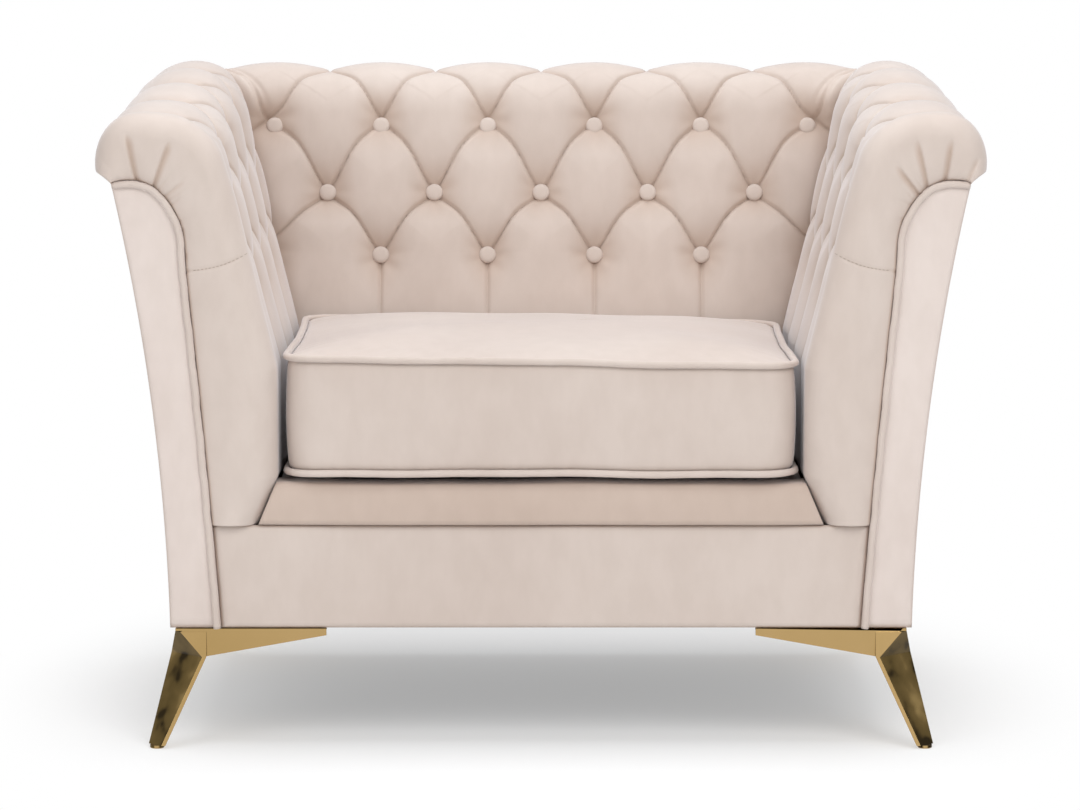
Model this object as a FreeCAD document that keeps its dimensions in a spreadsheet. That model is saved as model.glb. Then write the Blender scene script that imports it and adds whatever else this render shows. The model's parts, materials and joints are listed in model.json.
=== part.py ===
import FreeCAD, Part
import math
import os
import re
import Sketcher

# Chesterfield armchair. The frame stands on its feet at z = 0, the origin is under the middle
# of the chair, the front faces -Y, and right means +X, as someone facing the chair sees it.
# Arms and back share one cross section, drawn by its reach from the middle of the chair and
# its height, so the two rolls meet in a mitre at each rear corner.

Vector = FreeCAD.Vector
UP = Vector(0, 0, 1)
ACROSS = Vector(1, 0, 0)
BACKWARD = Vector(0, 1, 0)

doc = FreeCAD.newDocument("armchair")
sheet = doc.addObject("Spreadsheet::Sheet", "sizes")

driving_sizes = [
    ("overall_width", 1100, "outermost points of the two arm rolls"),
    ("overall_depth", 800, "front feet to the outermost point of the back roll"),
    ("roll_radius", 80, "radius of the arm and back rolls"),
    ("roll_height", 728, "height of the roll centre"),
    ("face_lean", 13.3, "lean of the tufted faces, degrees"),
    ("face_foot", 470, "height where the lean starts"),
    ("tuck_height", 335, "height where the pad starts to tuck in under the cushion"),
    ("tuck_reach", 25, "how far the pad tucks in"),
    ("lip_angle", 8, "how far the roll turns past its outermost point, degrees"),
    ("lip_height", 702, "height of the tacked lip under the roll"),
    ("flare_reach", 528, "reach of the outside cover under the roll"),
    ("foot_reach", 460, "reach of the outside cover at the bottom"),
    ("flare_sag", 14, "hollow of the outside cover"),
    ("cover_board", 8, "outside cover with its board"),
    ("body_bottom", 147, "underside of the body"),
    ("seam_height", 276, "seam over the front panel, and top of the boards on the seat rails"),
    ("deck_top", 328, "top of the sprung deck"),
    ("rail_top", 262, "top of the seat rails"),
    ("lining_foot", 388, "reach of the lining at the seat"),
    ("lining_head", 425, "reach of the lining at the top rail"),
    ("lining_thick", 4, "lining panels"),
    ("top_rail_width", 80, "top rails across"),
    ("top_rail_height", 63, "top rails above the lip"),
    ("top_rail_foot", 12, "top rails below the lip"),
    ("top_rail_chamfer", 20, "eased corners of the top rails"),
    ("facing_front", 10, "facing set back from the padded arm front"),
    ("facing_thick", 10, "padded facing cover"),
    ("facing_board", 25, "board behind the facing"),
    ("post_thick", 25, "front posts"),
    ("facing_width", 62, "facing at its foot"),
    ("facing_neck", 439, "reach of the facing edge at the neck"),
    ("facing_neck_height", 605, "height of the neck"),
    ("facing_head", 492, "reach of the facing edge under the roll"),
    ("facing_head_height", 707, "height of the facing head"),
    ("facing_hollow", 2, "bow of the facing edge below the neck"),
    ("shoulder_in", 10, "bow of the facing edge above the neck, inwards"),
    ("shoulder_up", 20, "bow of the facing edge above the neck, upwards"),
    ("front_round", 12, "rounding of the padded arm front"),
    ("piping_radius", 4.5, "piping"),
    ("panel_thick", 5, "front panel cover"),
    ("panel_setback", 2, "front panel behind the facings"),
    ("border_swell", 4, "front border in front of the panel, at its middle"),
    ("border_nose", 2, "front border in front of the panel, at its foot"),
    ("border_round", 16, "front border behind the panel, at its top"),
    ("tuft_pitch", 146, "spacing of the buttons along a row"),
    ("tuft_row_low", 568, "height of the lowest row"),
    ("tuft_row_mid", 652, "height of the middle row"),
    ("tuft_row_high", 742, "height of the highest row"),
    ("tuft_crest_turn", 66, "turn over the roll to the pleats' upper end, degrees"),
    ("pleat_depth", 11, "pleats"),
    ("pleat_width", 26, "pleats at the surface"),
    ("dimple_depth", 14, "button hollows"),
    ("dimple_width", 48, "button hollows at the surface"),
    ("button_width", 22, "covered buttons"),
    ("button_height", 9, "covered buttons"),
    ("seat_width", 640, "loose cushion across"),
    ("seat_front", 8, "cushion front behind the padded arm front"),
    ("seat_back_gap", 12, "cushion to the tufted back"),
    ("seat_bottom_seam", 340, "lower piping of the cushion"),
    ("seat_top_seam", 477, "upper piping of the cushion"),
    ("seat_crown", 27, "crown of the cushion above its upper piping"),
    ("seat_corner", 45, "rounded corners of the cushion"),
    ("seat_draw_in", 4, "sides of the cushion drawn in between the corners"),
    ("seat_bulge", 5, "sides of the cushion between the pipings"),
    ("seat_easing", 40, "height over which the bulge turns in to each seam"),
    ("seat_bottom_inset", 60, "flat underside inside the cushion's sides"),
    ("seat_belly_inset", 22, "swelling under the lower piping inside the sides"),
    ("seat_crown_inset", 190, "flat crown inside the cushion's sides"),
    ("cover_thick", 2, "cushion cover"),
    ("play", 0.3, "clearance between loose pieces"),
    ("wire_width", 4, "spring wire"),
    ("wire_height", 250, "height of the springs"),
    ("spring_count", 5, "springs side by side"),
    ("spring_pitch", 120, "spacing of the springs"),
    ("spring_loop", 44, "spring wave across"),
    ("spring_step", 30.8, "spring wave along, before it is fitted to the seat"),
    ("clip_width", 14, "spring clips"),
    ("leg_inset", 5, "leg corner inside the body corner"),
    ("leg_wing", 188, "wings of the leg"),
    ("leg_sheet", 4, "walls of the leg"),
    ("leg_plate", 3, "top plate of the leg"),
    ("plate_lip", 12, "top plate beside the screws and at the wing tips"),
    ("leg_tip", 8.5, "height of the wing at its tip"),
    ("leg_crotch", 111, "height of the inner corner of the leg"),
    ("leg_crotch_reach", 38.7, "inner corner of the leg from its outer corner"),
    ("leg_splay", 33, "foot beyond the leg corner"),
    ("foot_width", 22, "foot"),
    ("leg_bevel", 5, "bevels beside the diagonal facet"),
    ("glide_width", 18, "glides"),
    ("glide_height", 4, "glides"),
    ("dust_thick", 1, "dust cover"),
    ("dust_inset", 8, "dust cover inside the outside covers"),
    ("screw_width", 6, "leg screws"),
    ("screw_length", 35, "leg screws in the block"),
    ("screw_far", 105, "screw from the leg corner, long way"),
    ("screw_near", 55, "screw from the leg corner, short way"),
    ("block_reach", 188, "corner block, sum of both sides from the leg corner"),
    ("block_height", 50, "corner blocks"),
    ("zip_length", 400, "zip in the rear of the cushion"),
    ("zip_width", 16, "zip tape"),
    ("zip_thick", 1.5, "zip tape"),
]

for row, (name, value, note) in enumerate(driving_sizes, start=1):
    sheet.set(f"A{row}", note)
    sheet.set(f"B{row}", str(value))
    sheet.setAlias(f"B{row}", name)
doc.recompute()


class Sizes:
    """Reads the driving sizes by name from the sheet."""

    def __getattr__(self, name):
        return float(getattr(sheet, name))


s = Sizes()


def bound(expression):
    """The expression with every size name led back to the sheet."""
    return re.sub(r"[a-z][a-z_]+", r"sizes.\g<0>", expression)


# Places worked out from the driving sizes

roll_reach = s.overall_width / 2 - s.roll_radius
roll_back = s.overall_depth / 2 - s.roll_radius
corner_shift = roll_reach - roll_back
front = -s.overall_depth / 2 + s.leg_splay - s.facing_front - s.panel_setback
lean = math.radians(s.face_lean)
facing_front_y = front + s.facing_front
board_front_y = facing_front_y + s.facing_thick
post_front_y = board_front_y + s.facing_board
post_back_y = post_front_y + s.post_thick
base_top = s.seam_height
lining_slope = (s.lining_head - s.lining_foot) / (s.lip_height - base_top)
facing_foot = s.foot_reach - s.facing_width

# The same places as expressions of the sheet, for the pieces that are bound to it

CORNER_SHIFT = "(overall_width / 2 - overall_depth / 2)"
FRONT_Y = "(leg_splay - overall_depth / 2 - facing_front - panel_setback)"
POST_FRONT_Y = f"({FRONT_Y} + facing_front + facing_thick + facing_board)"
POST_BACK_Y = f"({POST_FRONT_Y} + post_thick)"
RAIL_OUTSIDE = "(foot_reach - cover_board)"
RAIL_INSIDE = "(lining_head + lining_thick)"
REAR_OUTSIDE = f"({RAIL_OUTSIDE} - {CORNER_SHIFT})"
REAR_INSIDE = f"({RAIL_INSIDE} - {CORNER_SHIFT})"
LEG_X = "(foot_reach - leg_inset)"
LEG_FRONT_Y = "(leg_splay - overall_depth / 2)"
LEG_REAR_Y = f"(foot_reach - leg_inset - {CORNER_SHIFT})"
FRONT_PANEL_Y = f"({FRONT_Y} + facing_front + panel_setback)"


# Helpers that make one kind of document object each


def box(label, x_low, x_high, y_low, y_high, z_low, z_high):
    """A board whose six faces are bound to the sheet."""
    piece = doc.addObject("Part::Box", label)
    piece.Label = label
    piece.setExpression("Length", bound(f"({x_high}) - ({x_low})"))
    piece.setExpression("Width", bound(f"({y_high}) - ({y_low})"))
    piece.setExpression("Height", bound(f"({z_high}) - ({z_low})"))
    piece.setExpression("Placement.Base.x", bound(x_low))
    piece.setExpression("Placement.Base.y", bound(y_low))
    piece.setExpression("Placement.Base.z", bound(z_low))
    return piece


def formed(label, shape):
    """A piece whose curved form is worked out here from the sheet."""
    piece = doc.addObject("Part::Feature", label)
    piece.Label = label
    piece.Shape = shape
    return piece


def origin_plane(body, role):
    return next(plane for plane in body.Origin.OriginFeatures if plane.Role == role)


def polygon_sketch(body, name, role, corners, height="0", holes=()):
    """A closed outline whose every corner is bound to two expressions, with round holes."""
    sketch = body.newObject("Sketcher::SketchObject", name)
    sketch.AttachmentSupport = [(origin_plane(body, role), "")]
    sketch.MapMode = "FlatFace"
    sketch.setExpression("AttachmentOffset.Base.z", bound(height))
    count = len(corners)
    for index in range(count):
        start = Vector(math.cos(2 * math.pi * index / count), math.sin(2 * math.pi * index / count), 0)
        turn = 2 * math.pi * (index + 1) / count
        end = Vector(math.cos(turn), math.sin(turn), 0)
        sketch.addGeometry(Part.LineSegment(start * 50, end * 50), False)
    for index in range(count):
        sketch.addConstraint(Sketcher.Constraint("Coincident", index, 2, (index + 1) % count, 1))
    for index, (across, along) in enumerate(corners):
        bind_point(sketch, index, 1, across, along)
    for across, along, diameter in holes:
        hole = sketch.addGeometry(Part.Circle(Vector(50, 50, 0), UP, 3), False)
        bind_point(sketch, hole, 3, across, along)
        ring = sketch.addConstraint(Sketcher.Constraint("Diameter", hole, 6))
        sketch.setExpression(f"Constraints[{ring}]", bound(diameter))
    return sketch


def bind_point(sketch, geometry, point, across, along):
    for kind, expression in (("DistanceX", across), ("DistanceY", along)):
        index = sketch.addConstraint(Sketcher.Constraint(kind, -1, 1, geometry, point, 1.0))
        sketch.setExpression(f"Constraints[{index}]", bound(expression))


def pad(body, sketch, name, length, backwards=False):
    feature = body.newObject("PartDesign::Pad", name)
    feature.Profile = sketch
    feature.Reversed = backwards
    feature.setExpression("Length", bound(length))
    return feature


def arc(start, middle, end):
    return Part.Arc(Vector(*start), Vector(*middle), Vector(*end)).toShape()


def line(start, end):
    return Part.LineSegment(Vector(*start), Vector(*end)).toShape()


def slab(edges, y_low, y_high):
    """A closed outline in the plane of reach and height, drawn out along Y."""
    face = Part.Face(Part.Wire(edges))
    face.translate(Vector(0, y_low, 0))
    return face.extrude(Vector(0, y_high - y_low, 0))


def as_back(shape):
    """Turns a piece of the arm at +X into the same piece of the back."""
    turned = shape.copy()
    turned.rotate(Vector(0, 0, 0), UP, 90)
    turned.translate(Vector(0, -corner_shift, 0))
    return turned


def mirrored(shape):
    return shape.mirror(Vector(0, 0, 0), ACROSS)


# The shared cross section

overlap = 1
pleat_rise = 0.25


def on_roll(turn, radius=None):
    """A point on the roll, turned from the tangent of the leaning face, and its normal."""
    angle = math.pi - lean - math.radians(turn)
    normal = Vector(math.cos(angle), 0, math.sin(angle))
    return Vector(roll_reach, 0, s.roll_height) + normal * (radius or s.roll_radius), normal


def on_face(height):
    """A point on the leaning face and its normal."""
    tangent, normal = on_roll(0)
    return Vector(tangent.x - (tangent.z - height) * math.tan(lean), 0, height), normal


def lining_reach(height):
    return s.lining_foot + (height - base_top) * lining_slope


def visible_edges():
    """The padded surface from the seat, up the leaning face and over the roll to its lip."""
    foot, _ = on_face(s.face_foot)
    tangent, _ = on_roll(0)
    lip_turn = 180 - s.face_lean + s.lip_angle
    crest, _ = on_roll(lip_turn / 2)
    lip, _ = on_roll(lip_turn)
    return [
        line((foot.x + s.tuck_reach, 0, base_top), (foot.x, 0, s.tuck_height)),
        line((foot.x, 0, s.tuck_height), tuple(foot)),
        line(tuple(foot), tuple(tangent)),
        arc(tuple(tangent), tuple(crest), tuple(lip)),
        line(tuple(lip), (s.flare_reach, 0, s.lip_height)),
    ]


def top_rail_outline():
    """The top rail inside the roll, with eased upper corners."""
    low = s.lip_height
    high = low + s.top_rail_height
    near = s.lining_head
    far = near + s.top_rail_width
    ease = s.top_rail_chamfer
    return [
        (far, 0, low),
        (far, 0, high - ease),
        (far - ease, 0, high),
        (near + ease, 0, high),
        (near, 0, high - ease),
        (near, 0, low),
    ]


def pad_solid(y_low, y_high):
    """The padding around the frame, as one hook-shaped section."""
    foot, _ = on_face(s.face_foot)
    inside = top_rail_outline()
    inside.append((s.lining_foot, 0, base_top))
    edges = visible_edges()
    edges.append(line((s.flare_reach, 0, s.lip_height), inside[0]))
    for start, end in zip(inside, inside[1:]):
        edges.append(line(start, end))
    edges.append(line(inside[-1], (foot.x + s.tuck_reach, 0, base_top)))
    return slab(edges, y_low, y_high)


def outside_edges(inset):
    """The hollow flare of the outside cover, moved in by the inset, from the lip down."""
    top = (s.flare_reach - inset, 0, s.lip_height)
    foot = (s.foot_reach - inset, 0, s.body_bottom)
    middle = ((top[0] + foot[0]) / 2 - s.flare_sag, 0, (top[2] + foot[2]) / 2)
    return top, middle, foot


def outside_cover(y_low, y_high):
    outer = outside_edges(0)
    inner = outside_edges(s.cover_board)
    edges = [
        arc(*outer),
        line(outer[2], inner[2]),
        arc(inner[2], inner[1], inner[0]),
        line(inner[0], outer[0]),
    ]
    return slab(edges, y_low, y_high)


def facing_line(inset=0):
    """The edge of the facing from its foot up to the lip under the roll, moved in."""
    foot = (facing_foot + inset, 0, s.body_bottom)
    neck = (s.facing_neck + inset, 0, s.facing_neck_height)
    head = (s.facing_head + inset, 0, s.facing_head_height - inset)
    lip = (s.flare_reach - inset, 0, s.lip_height - inset)
    middle = ((foot[0] + neck[0]) / 2 - s.facing_hollow, 0, (foot[2] + neck[2]) / 2)
    shoulder = ((neck[0] + head[0]) / 2 - s.shoulder_in, 0,
                (neck[2] + head[2]) / 2 + s.shoulder_up)
    return [arc(foot, middle, neck), arc(neck, shoulder, head), line(head, lip)]


def facing_solid(y_low, y_high):
    outer = outside_edges(0)
    edges = facing_line()
    edges.append(arc(*outer))
    edges.append(line(outer[2], (facing_foot, 0, s.body_bottom)))
    return slab(edges, y_low, y_high)


def arm_section(inset, y_low, y_high):
    """The whole arm as far out as its outside cover, moved in by the inset."""
    foot, _ = on_face(s.face_foot)
    outer = outside_edges(inset)
    edges = visible_edges()
    if inset > 0:
        edges.append(line((s.flare_reach, 0, s.lip_height), outer[0]))
    edges.append(arc(*outer))
    edges.append(line(outer[2], (s.lining_foot, 0, s.body_bottom)))
    edges.append(line((s.lining_foot, 0, s.body_bottom), (s.lining_foot, 0, base_top)))
    edges.append(line((s.lining_foot, 0, base_top), (foot.x + s.tuck_reach, 0, base_top)))
    return slab(edges, y_low, y_high)


# Mitre, pleats and buttons


def half_space(points):
    """A tall prism that reaches past the chair on the side of the mitre to be cut away."""
    wire = Part.makePolygon([Vector(x, y, 0) for x, y in points + points[:1]])
    return Part.Face(wire).extrude(UP * s.overall_width)


def behind_the_arm():
    """The space behind the mitre plane of the arm at +X."""
    far = 2 * s.overall_width
    return half_space([(-far, -far - corner_shift), (far, far - corner_shift), (-far, far)])


def beside_the_back():
    """The space in front of the mitre plane of the back at +X."""
    far = 2 * s.overall_width
    return half_space([(-far, -far - corner_shift), (far, far - corner_shift), (far, -far)])


def wedge(start, start_normal, end, end_normal):
    """A pleat: a vee that runs from one surface point to the next."""
    run = (end - start).normalize()
    ends = []
    for point, normal, stretch in ((start, start_normal, -overlap), (end, end_normal, overlap)):
        side = normal.cross(run).normalize() * (s.pleat_width / 2)
        at = point + run * stretch
        high = at + normal * (s.pleat_depth * pleat_rise)
        corners = [high + side, high - side, at - normal * s.pleat_depth]
        ends.append(Part.makePolygon(corners + corners[:1]))
    return Part.makeLoft(ends, True, True)


def along(surface_point, place):
    point, normal = surface_point
    return Vector(point.x, place, point.z), normal


def channel(place):
    """A pleat that runs straight over the roll from the crest to the lip."""
    start_turn = s.tuft_crest_turn
    end_turn = 180 - s.face_lean + s.lip_angle
    point, normal = on_roll(start_turn)
    centre = Vector(roll_reach, place, s.roll_height)
    half = Vector(0, s.pleat_width / 2, 0)
    high = centre + normal * (s.roll_radius + s.pleat_depth * pleat_rise)
    low = centre + normal * (s.roll_radius - s.pleat_depth)
    face = Part.Face(Part.makePolygon([high + half, high - half, low, high + half]))
    return face.revolve(centre, BACKWARD, end_turn - start_turn)


def tuft_rows():
    """The rows of buttons as surface points, from the seat to the crest of the roll."""
    return [
        on_face(s.tuft_row_low),
        on_face(s.tuft_row_mid),
        on_face(s.tuft_row_high),
        on_roll(s.tuft_crest_turn),
    ]


def pleats(y_low, y_high, shift):
    """All pleats of one pad, between two places along it."""
    low, middle, high, crest = tuft_rows()
    half_turn = on_roll(s.tuft_crest_turn / 2)
    seat = on_face(s.face_foot)
    cuts = []
    first = math.floor((y_low + shift) / s.tuft_pitch) - 1
    last = math.ceil((y_high + shift) / s.tuft_pitch) + 1
    for index in range(first, last + 1):
        column = index * s.tuft_pitch - shift
        for side in (-0.5, 0.5):
            beside = column + side * s.tuft_pitch
            between = column + side * s.tuft_pitch / 2
            cuts.append(wedge(*along(middle, column), *along(low, beside)))
            cuts.append(wedge(*along(middle, column), *along(high, beside)))
            cuts.append(wedge(*along(high, beside), *along(half_turn, between)))
            cuts.append(wedge(*along(half_turn, between), *along(crest, column)))
        cuts.append(channel(column))
        odd = column + s.tuft_pitch / 2
        cuts.append(wedge(*along(low, odd), *along(seat, odd)))
    return cuts


def dimple(point, normal):
    outside = s.dimple_width / 2
    floor = s.button_width / 2 + s.play
    rise = s.dimple_depth * pleat_rise
    base = point - normal * s.dimple_depth
    slope = (outside - floor) / s.dimple_depth
    return Part.makeCone(floor, outside + slope * rise, s.dimple_depth + rise, base, normal)


def button(point, normal):
    """A covered button on the floor of its hollow: a disc cut from a ball for its dome."""
    radius = s.button_width / 2
    dome = s.button_height * 2 / 3
    ball_radius = (radius ** 2 + dome ** 2) / (2 * dome)
    ball = Part.makeSphere(ball_radius, UP * (s.button_height - ball_radius))
    solid = Part.makeCylinder(radius, s.button_height).common(ball)
    solid.Placement = FreeCAD.Placement(
        point - normal * s.dimple_depth, FreeCAD.Rotation(UP, normal)
    )
    return solid


def button_places(columns_low, columns_middle, columns_high, shift):
    """Surface points of the buttons, from the number of half pitches along each row."""
    low, middle, high, _ = tuft_rows()
    places = []
    for row, columns in ((low, columns_low), (middle, columns_middle), (high, columns_high)):
        for halves in columns:
            places.append(along(row, halves * s.tuft_pitch / 2 - shift))
    return places


def tufted(solid, places, y_low, y_high, shift):
    cuts = pleats(y_low, y_high, shift)
    cuts.extend(dimple(*place) for place in places)
    return solid.cut(cuts).removeSplitter()


# Arms and back

BACK_COLUMNS = ((-3, -1, 1, 3), (-4, -2, 0, 2, 4), (-5, -3, -1, 1, 3, 5))
ARM_COLUMNS = ((-1, 1, 3), (-2, 0, 2, 4), (-1, 1, 3))
past_corner = s.overall_width / 2 + s.roll_radius

arm_places = button_places(*ARM_COLUMNS, corner_shift)
back_places = button_places(*BACK_COLUMNS, 0)

below_seam = Part.makeBox(
    s.overall_width, s.overall_depth, base_top, Vector(0, -s.overall_depth, 0)
)
facing_space = facing_solid(front - overlap, post_front_y + overlap)
plain_lobe = arm_section(0, front, post_front_y).cut([facing_space, below_seam])
front_edges = [
    edge
    for edge in plain_lobe.Edges
    if all(abs(vertex.Point.y - front) < 0.01 for vertex in edge.Vertexes)
]
lobe = plain_lobe.makeFillet(s.front_round, front_edges)

arm_pad = pad_solid(post_front_y, past_corner).cut(behind_the_arm())
arm_pad = arm_pad.fuse(lobe).removeSplitter()
arm_pad = tufted(arm_pad, arm_places, front, past_corner, corner_shift)

back_pad_flat = pad_solid(-past_corner, past_corner)
back_pad_flat = tufted(back_pad_flat, back_places, -past_corner, past_corner, 0)
back_pad = as_back(back_pad_flat)
back_pad = back_pad.cut([beside_the_back(), mirrored(beside_the_back())])

arm_buttons = Part.makeCompound([button(*place) for place in arm_places])
back_buttons = as_back(Part.makeCompound([button(*place) for place in back_places]))

formed("right_arm_pad", arm_pad)
formed("left_arm_pad", mirrored(arm_pad))
formed("back_pad", back_pad)
formed("right_arm_buttons", arm_buttons)
formed("left_arm_buttons", mirrored(arm_buttons))
formed("back_buttons", back_buttons)


def lining(y_low, y_high):
    """The lining panel that carries the padding, from the base board to the top rail."""
    foot = s.lining_foot
    head = s.lining_head
    low = base_top
    high = s.lip_height - s.top_rail_foot
    reach = lining_reach(high)
    thick = s.lining_thick
    corners = [(foot, 0, low), (reach, 0, high), (reach + thick, 0, high), (foot + thick, 0, low)]
    edges = [line(start, end) for start, end in zip(corners, corners[1:] + corners[:1])]
    return slab(edges, y_low, y_high)


def top_rail(y_low, y_high):
    """The top rail with the ledge that the outside cover is tacked to."""
    low = s.lip_height - s.top_rail_foot
    corners = top_rail_outline()[:-1]
    corners.append((s.lining_head, 0, s.lip_height))
    corners.append((lining_reach(low), 0, low))
    corners.append((s.flare_reach, 0, low))
    corners.append((s.flare_reach, 0, s.lip_height))
    edges = [line(start, end) for start, end in zip(corners, corners[1:] + corners[:1])]
    return slab(edges, y_low, y_high).common(arm_section(s.cover_board, y_low, y_high))


arm_cover = outside_cover(post_front_y, past_corner).cut(behind_the_arm())
back_cover = as_back(outside_cover(-past_corner, past_corner))
back_cover = back_cover.cut([beside_the_back(), mirrored(beside_the_back())])
arm_rail = top_rail(post_back_y, past_corner).cut(behind_the_arm())
back_rail = as_back(top_rail(-past_corner, past_corner))
back_rail = back_rail.cut([beside_the_back(), mirrored(beside_the_back())])
arm_lining = lining(post_front_y, past_corner).cut(behind_the_arm())
back_lining = as_back(lining(-past_corner, past_corner))
back_lining = back_lining.cut([beside_the_back(), mirrored(beside_the_back())])

formed("right_outside_cover", arm_cover)
formed("left_outside_cover", mirrored(arm_cover))
formed("outside_back_cover", back_cover)
formed("right_arm_top_rail", arm_rail)
formed("left_arm_top_rail", mirrored(arm_rail))
formed("back_top_rail", back_rail)
formed("right_arm_lining", arm_lining)
formed("left_arm_lining", mirrored(arm_lining))
formed("back_lining", back_lining)

# Facing and front post of each arm


def front_post():
    """The scroll-shaped post that fills the arm behind its facing board."""
    whole = arm_section(s.cover_board, post_front_y, post_back_y)
    padding = pad_solid(post_front_y - overlap, post_back_y + overlap)
    return whole.cut([padding, lining(post_front_y - overlap, post_back_y + overlap)])


def piping(points, closed):
    """A round cord through the points, as rings that face along it."""
    rings = []
    last = len(points) - 1
    for index, point in enumerate(points):
        before = points[index - 1] if closed or index > 0 else point
        after = points[(index + 1) % len(points)] if closed or index < last else point
        rings.append(Part.Wire(Part.makeCircle(s.piping_radius, point, after - before)))
    return Part.makeLoft(rings, True, True, closed)


def edge_points(edges, per_edge):
    """Evenly spaced points along the edges, without the last edge's end."""
    points = []
    for edge in edges:
        run = edge.LastParameter - edge.FirstParameter
        for step in range(per_edge):
            share = step / per_edge
            if edge.Orientation == "Reversed":
                share = 1 - share
            points.append(edge.valueAt(edge.FirstParameter + share * run))
    return points


rings_per_edge = 8


def facing_piping():
    """The piping that lies on the facing along the padded arm front."""
    inset = s.piping_radius + s.play
    points = edge_points(facing_line(inset), rings_per_edge)
    points.append(Vector(s.flare_reach - inset, 0, s.lip_height - inset))
    depth = Vector(0, facing_front_y - inset, 0)
    return piping([point + depth for point in points], False)


formed("right_facing_cover", facing_solid(facing_front_y, board_front_y))
formed("left_facing_cover", mirrored(facing_solid(facing_front_y, board_front_y)))
formed("right_facing_board", facing_solid(board_front_y, post_front_y))
formed("left_facing_board", mirrored(facing_solid(board_front_y, post_front_y)))
formed("right_facing_piping", facing_piping())
formed("left_facing_piping", mirrored(facing_piping()))
formed("right_front_post", front_post())
formed("left_front_post", mirrored(front_post()))

# Seat frame

NAMES = {1: "right", -1: "left"}


def sided(expression, side):
    return f"({side} * {expression})"


def side_box(name, side, x_near, x_far, *rest):
    """A board beside the middle: its near and far faces change places on the other side."""
    low, high = (x_near, x_far) if side > 0 else (sided(x_far, -1), sided(x_near, -1))
    return box(f"{NAMES[side]}_{name}", low, high, *rest)


for side in NAMES:
    side_box("seat_rail", side, RAIL_INSIDE, RAIL_OUTSIDE, POST_BACK_Y, REAR_INSIDE,
             "body_bottom", "rail_top")
    side_box("base_board", side, "lining_foot", RAIL_OUTSIDE, POST_BACK_Y,
             f"(lining_foot - {CORNER_SHIFT})", "rail_top", "seam_height")
    side_box("rear_post", side, RAIL_INSIDE, RAIL_OUTSIDE, REAR_INSIDE, REAR_OUTSIDE,
             "body_bottom", "(lip_height - top_rail_foot)")
box("front_seat_rail", sided("(foot_reach - facing_width)", -1), "(foot_reach - facing_width)",
    f"({FRONT_PANEL_Y} + panel_thick)", POST_FRONT_Y, "body_bottom", "rail_top")
box("rear_seat_rail", sided(RAIL_INSIDE, -1), RAIL_INSIDE, REAR_INSIDE, REAR_OUTSIDE,
    "body_bottom", "rail_top")
box("back_base_board", sided(RAIL_INSIDE, -1), RAIL_INSIDE,
    f"(lining_foot - {CORNER_SHIFT})", REAR_OUTSIDE, "rail_top", "seam_height")

front_panel_y = front + s.facing_front + s.panel_setback


def screw_places(side, end):
    """Screw axes of one leg: both ways round its corner, as expressions."""
    corner = LEG_REAR_Y if end > 0 else LEG_FRONT_Y
    places = []
    for across, deep in (("screw_far", "screw_near"), ("screw_near", "screw_far")):
        places.append((f"({side} * ({LEG_X} - {across}))", f"({corner} - {end} * {deep})"))
    return places


def polygon_body(label, corners, low, thickness, holes=()):
    """A flat piece with upright sides, padded up from its lower face."""
    body = doc.addObject("PartDesign::Body", label)
    body.Label = label
    sketch = polygon_sketch(body, f"{label}_outline", "XY_Plane", corners, low, holes)
    pad(body, sketch, f"{label}_pad", thickness)
    return body


def corner_block(side, end):
    reach = "block_reach"
    inner_y = f"({LEG_REAR_Y} - ({reach} - ({LEG_X} - {RAIL_INSIDE})))"
    if end > 0:
        inner_x = f"({LEG_X} - ({reach} - ({LEG_REAR_Y} - {REAR_INSIDE})))"
        corners = [(RAIL_INSIDE, REAR_INSIDE), (inner_x, REAR_INSIDE), (RAIL_INSIDE, inner_y)]
    else:
        inner_x = f"({LEG_X} - ({reach} - ({POST_FRONT_Y} - {LEG_FRONT_Y})))"
        inner_y = f"({LEG_FRONT_Y} + {reach} - ({LEG_X} - {RAIL_INSIDE}))"
        corners = [("lining_foot", POST_FRONT_Y), (inner_x, POST_FRONT_Y), (RAIL_INSIDE, inner_y),
                   (RAIL_INSIDE, POST_BACK_Y), ("lining_foot", POST_BACK_Y)]
    corners = [(sided(across, side), deep) for across, deep in corners]
    holes = [(across, deep, "screw_width") for across, deep in screw_places(side, end)]
    name = "rear" if end > 0 else "front"
    return polygon_body(f"{name}_{NAMES[side]}_corner_block", corners, "body_bottom",
                        "block_height", holes)


for side in NAMES:
    for end in (-1, 1):
        corner_block(side, end)

dust_x = f"({RAIL_OUTSIDE} - dust_inset)"
dust_front = f"({POST_FRONT_Y} - dust_inset)"
dust_rear = f"({REAR_OUTSIDE} - dust_inset)"
dust_corners = [(sided(dust_x, -1), dust_front), (dust_x, dust_front),
                (dust_x, dust_rear), (sided(dust_x, -1), dust_rear)]
dust_holes = [
    (across, deep, "screw_width")
    for side in NAMES
    for end in (-1, 1)
    for across, deep in screw_places(side, end)
]
polygon_body("dust_cover", dust_corners, "(body_bottom - dust_thick)", "dust_thick", dust_holes)

# Legs, glides and screws


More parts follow.
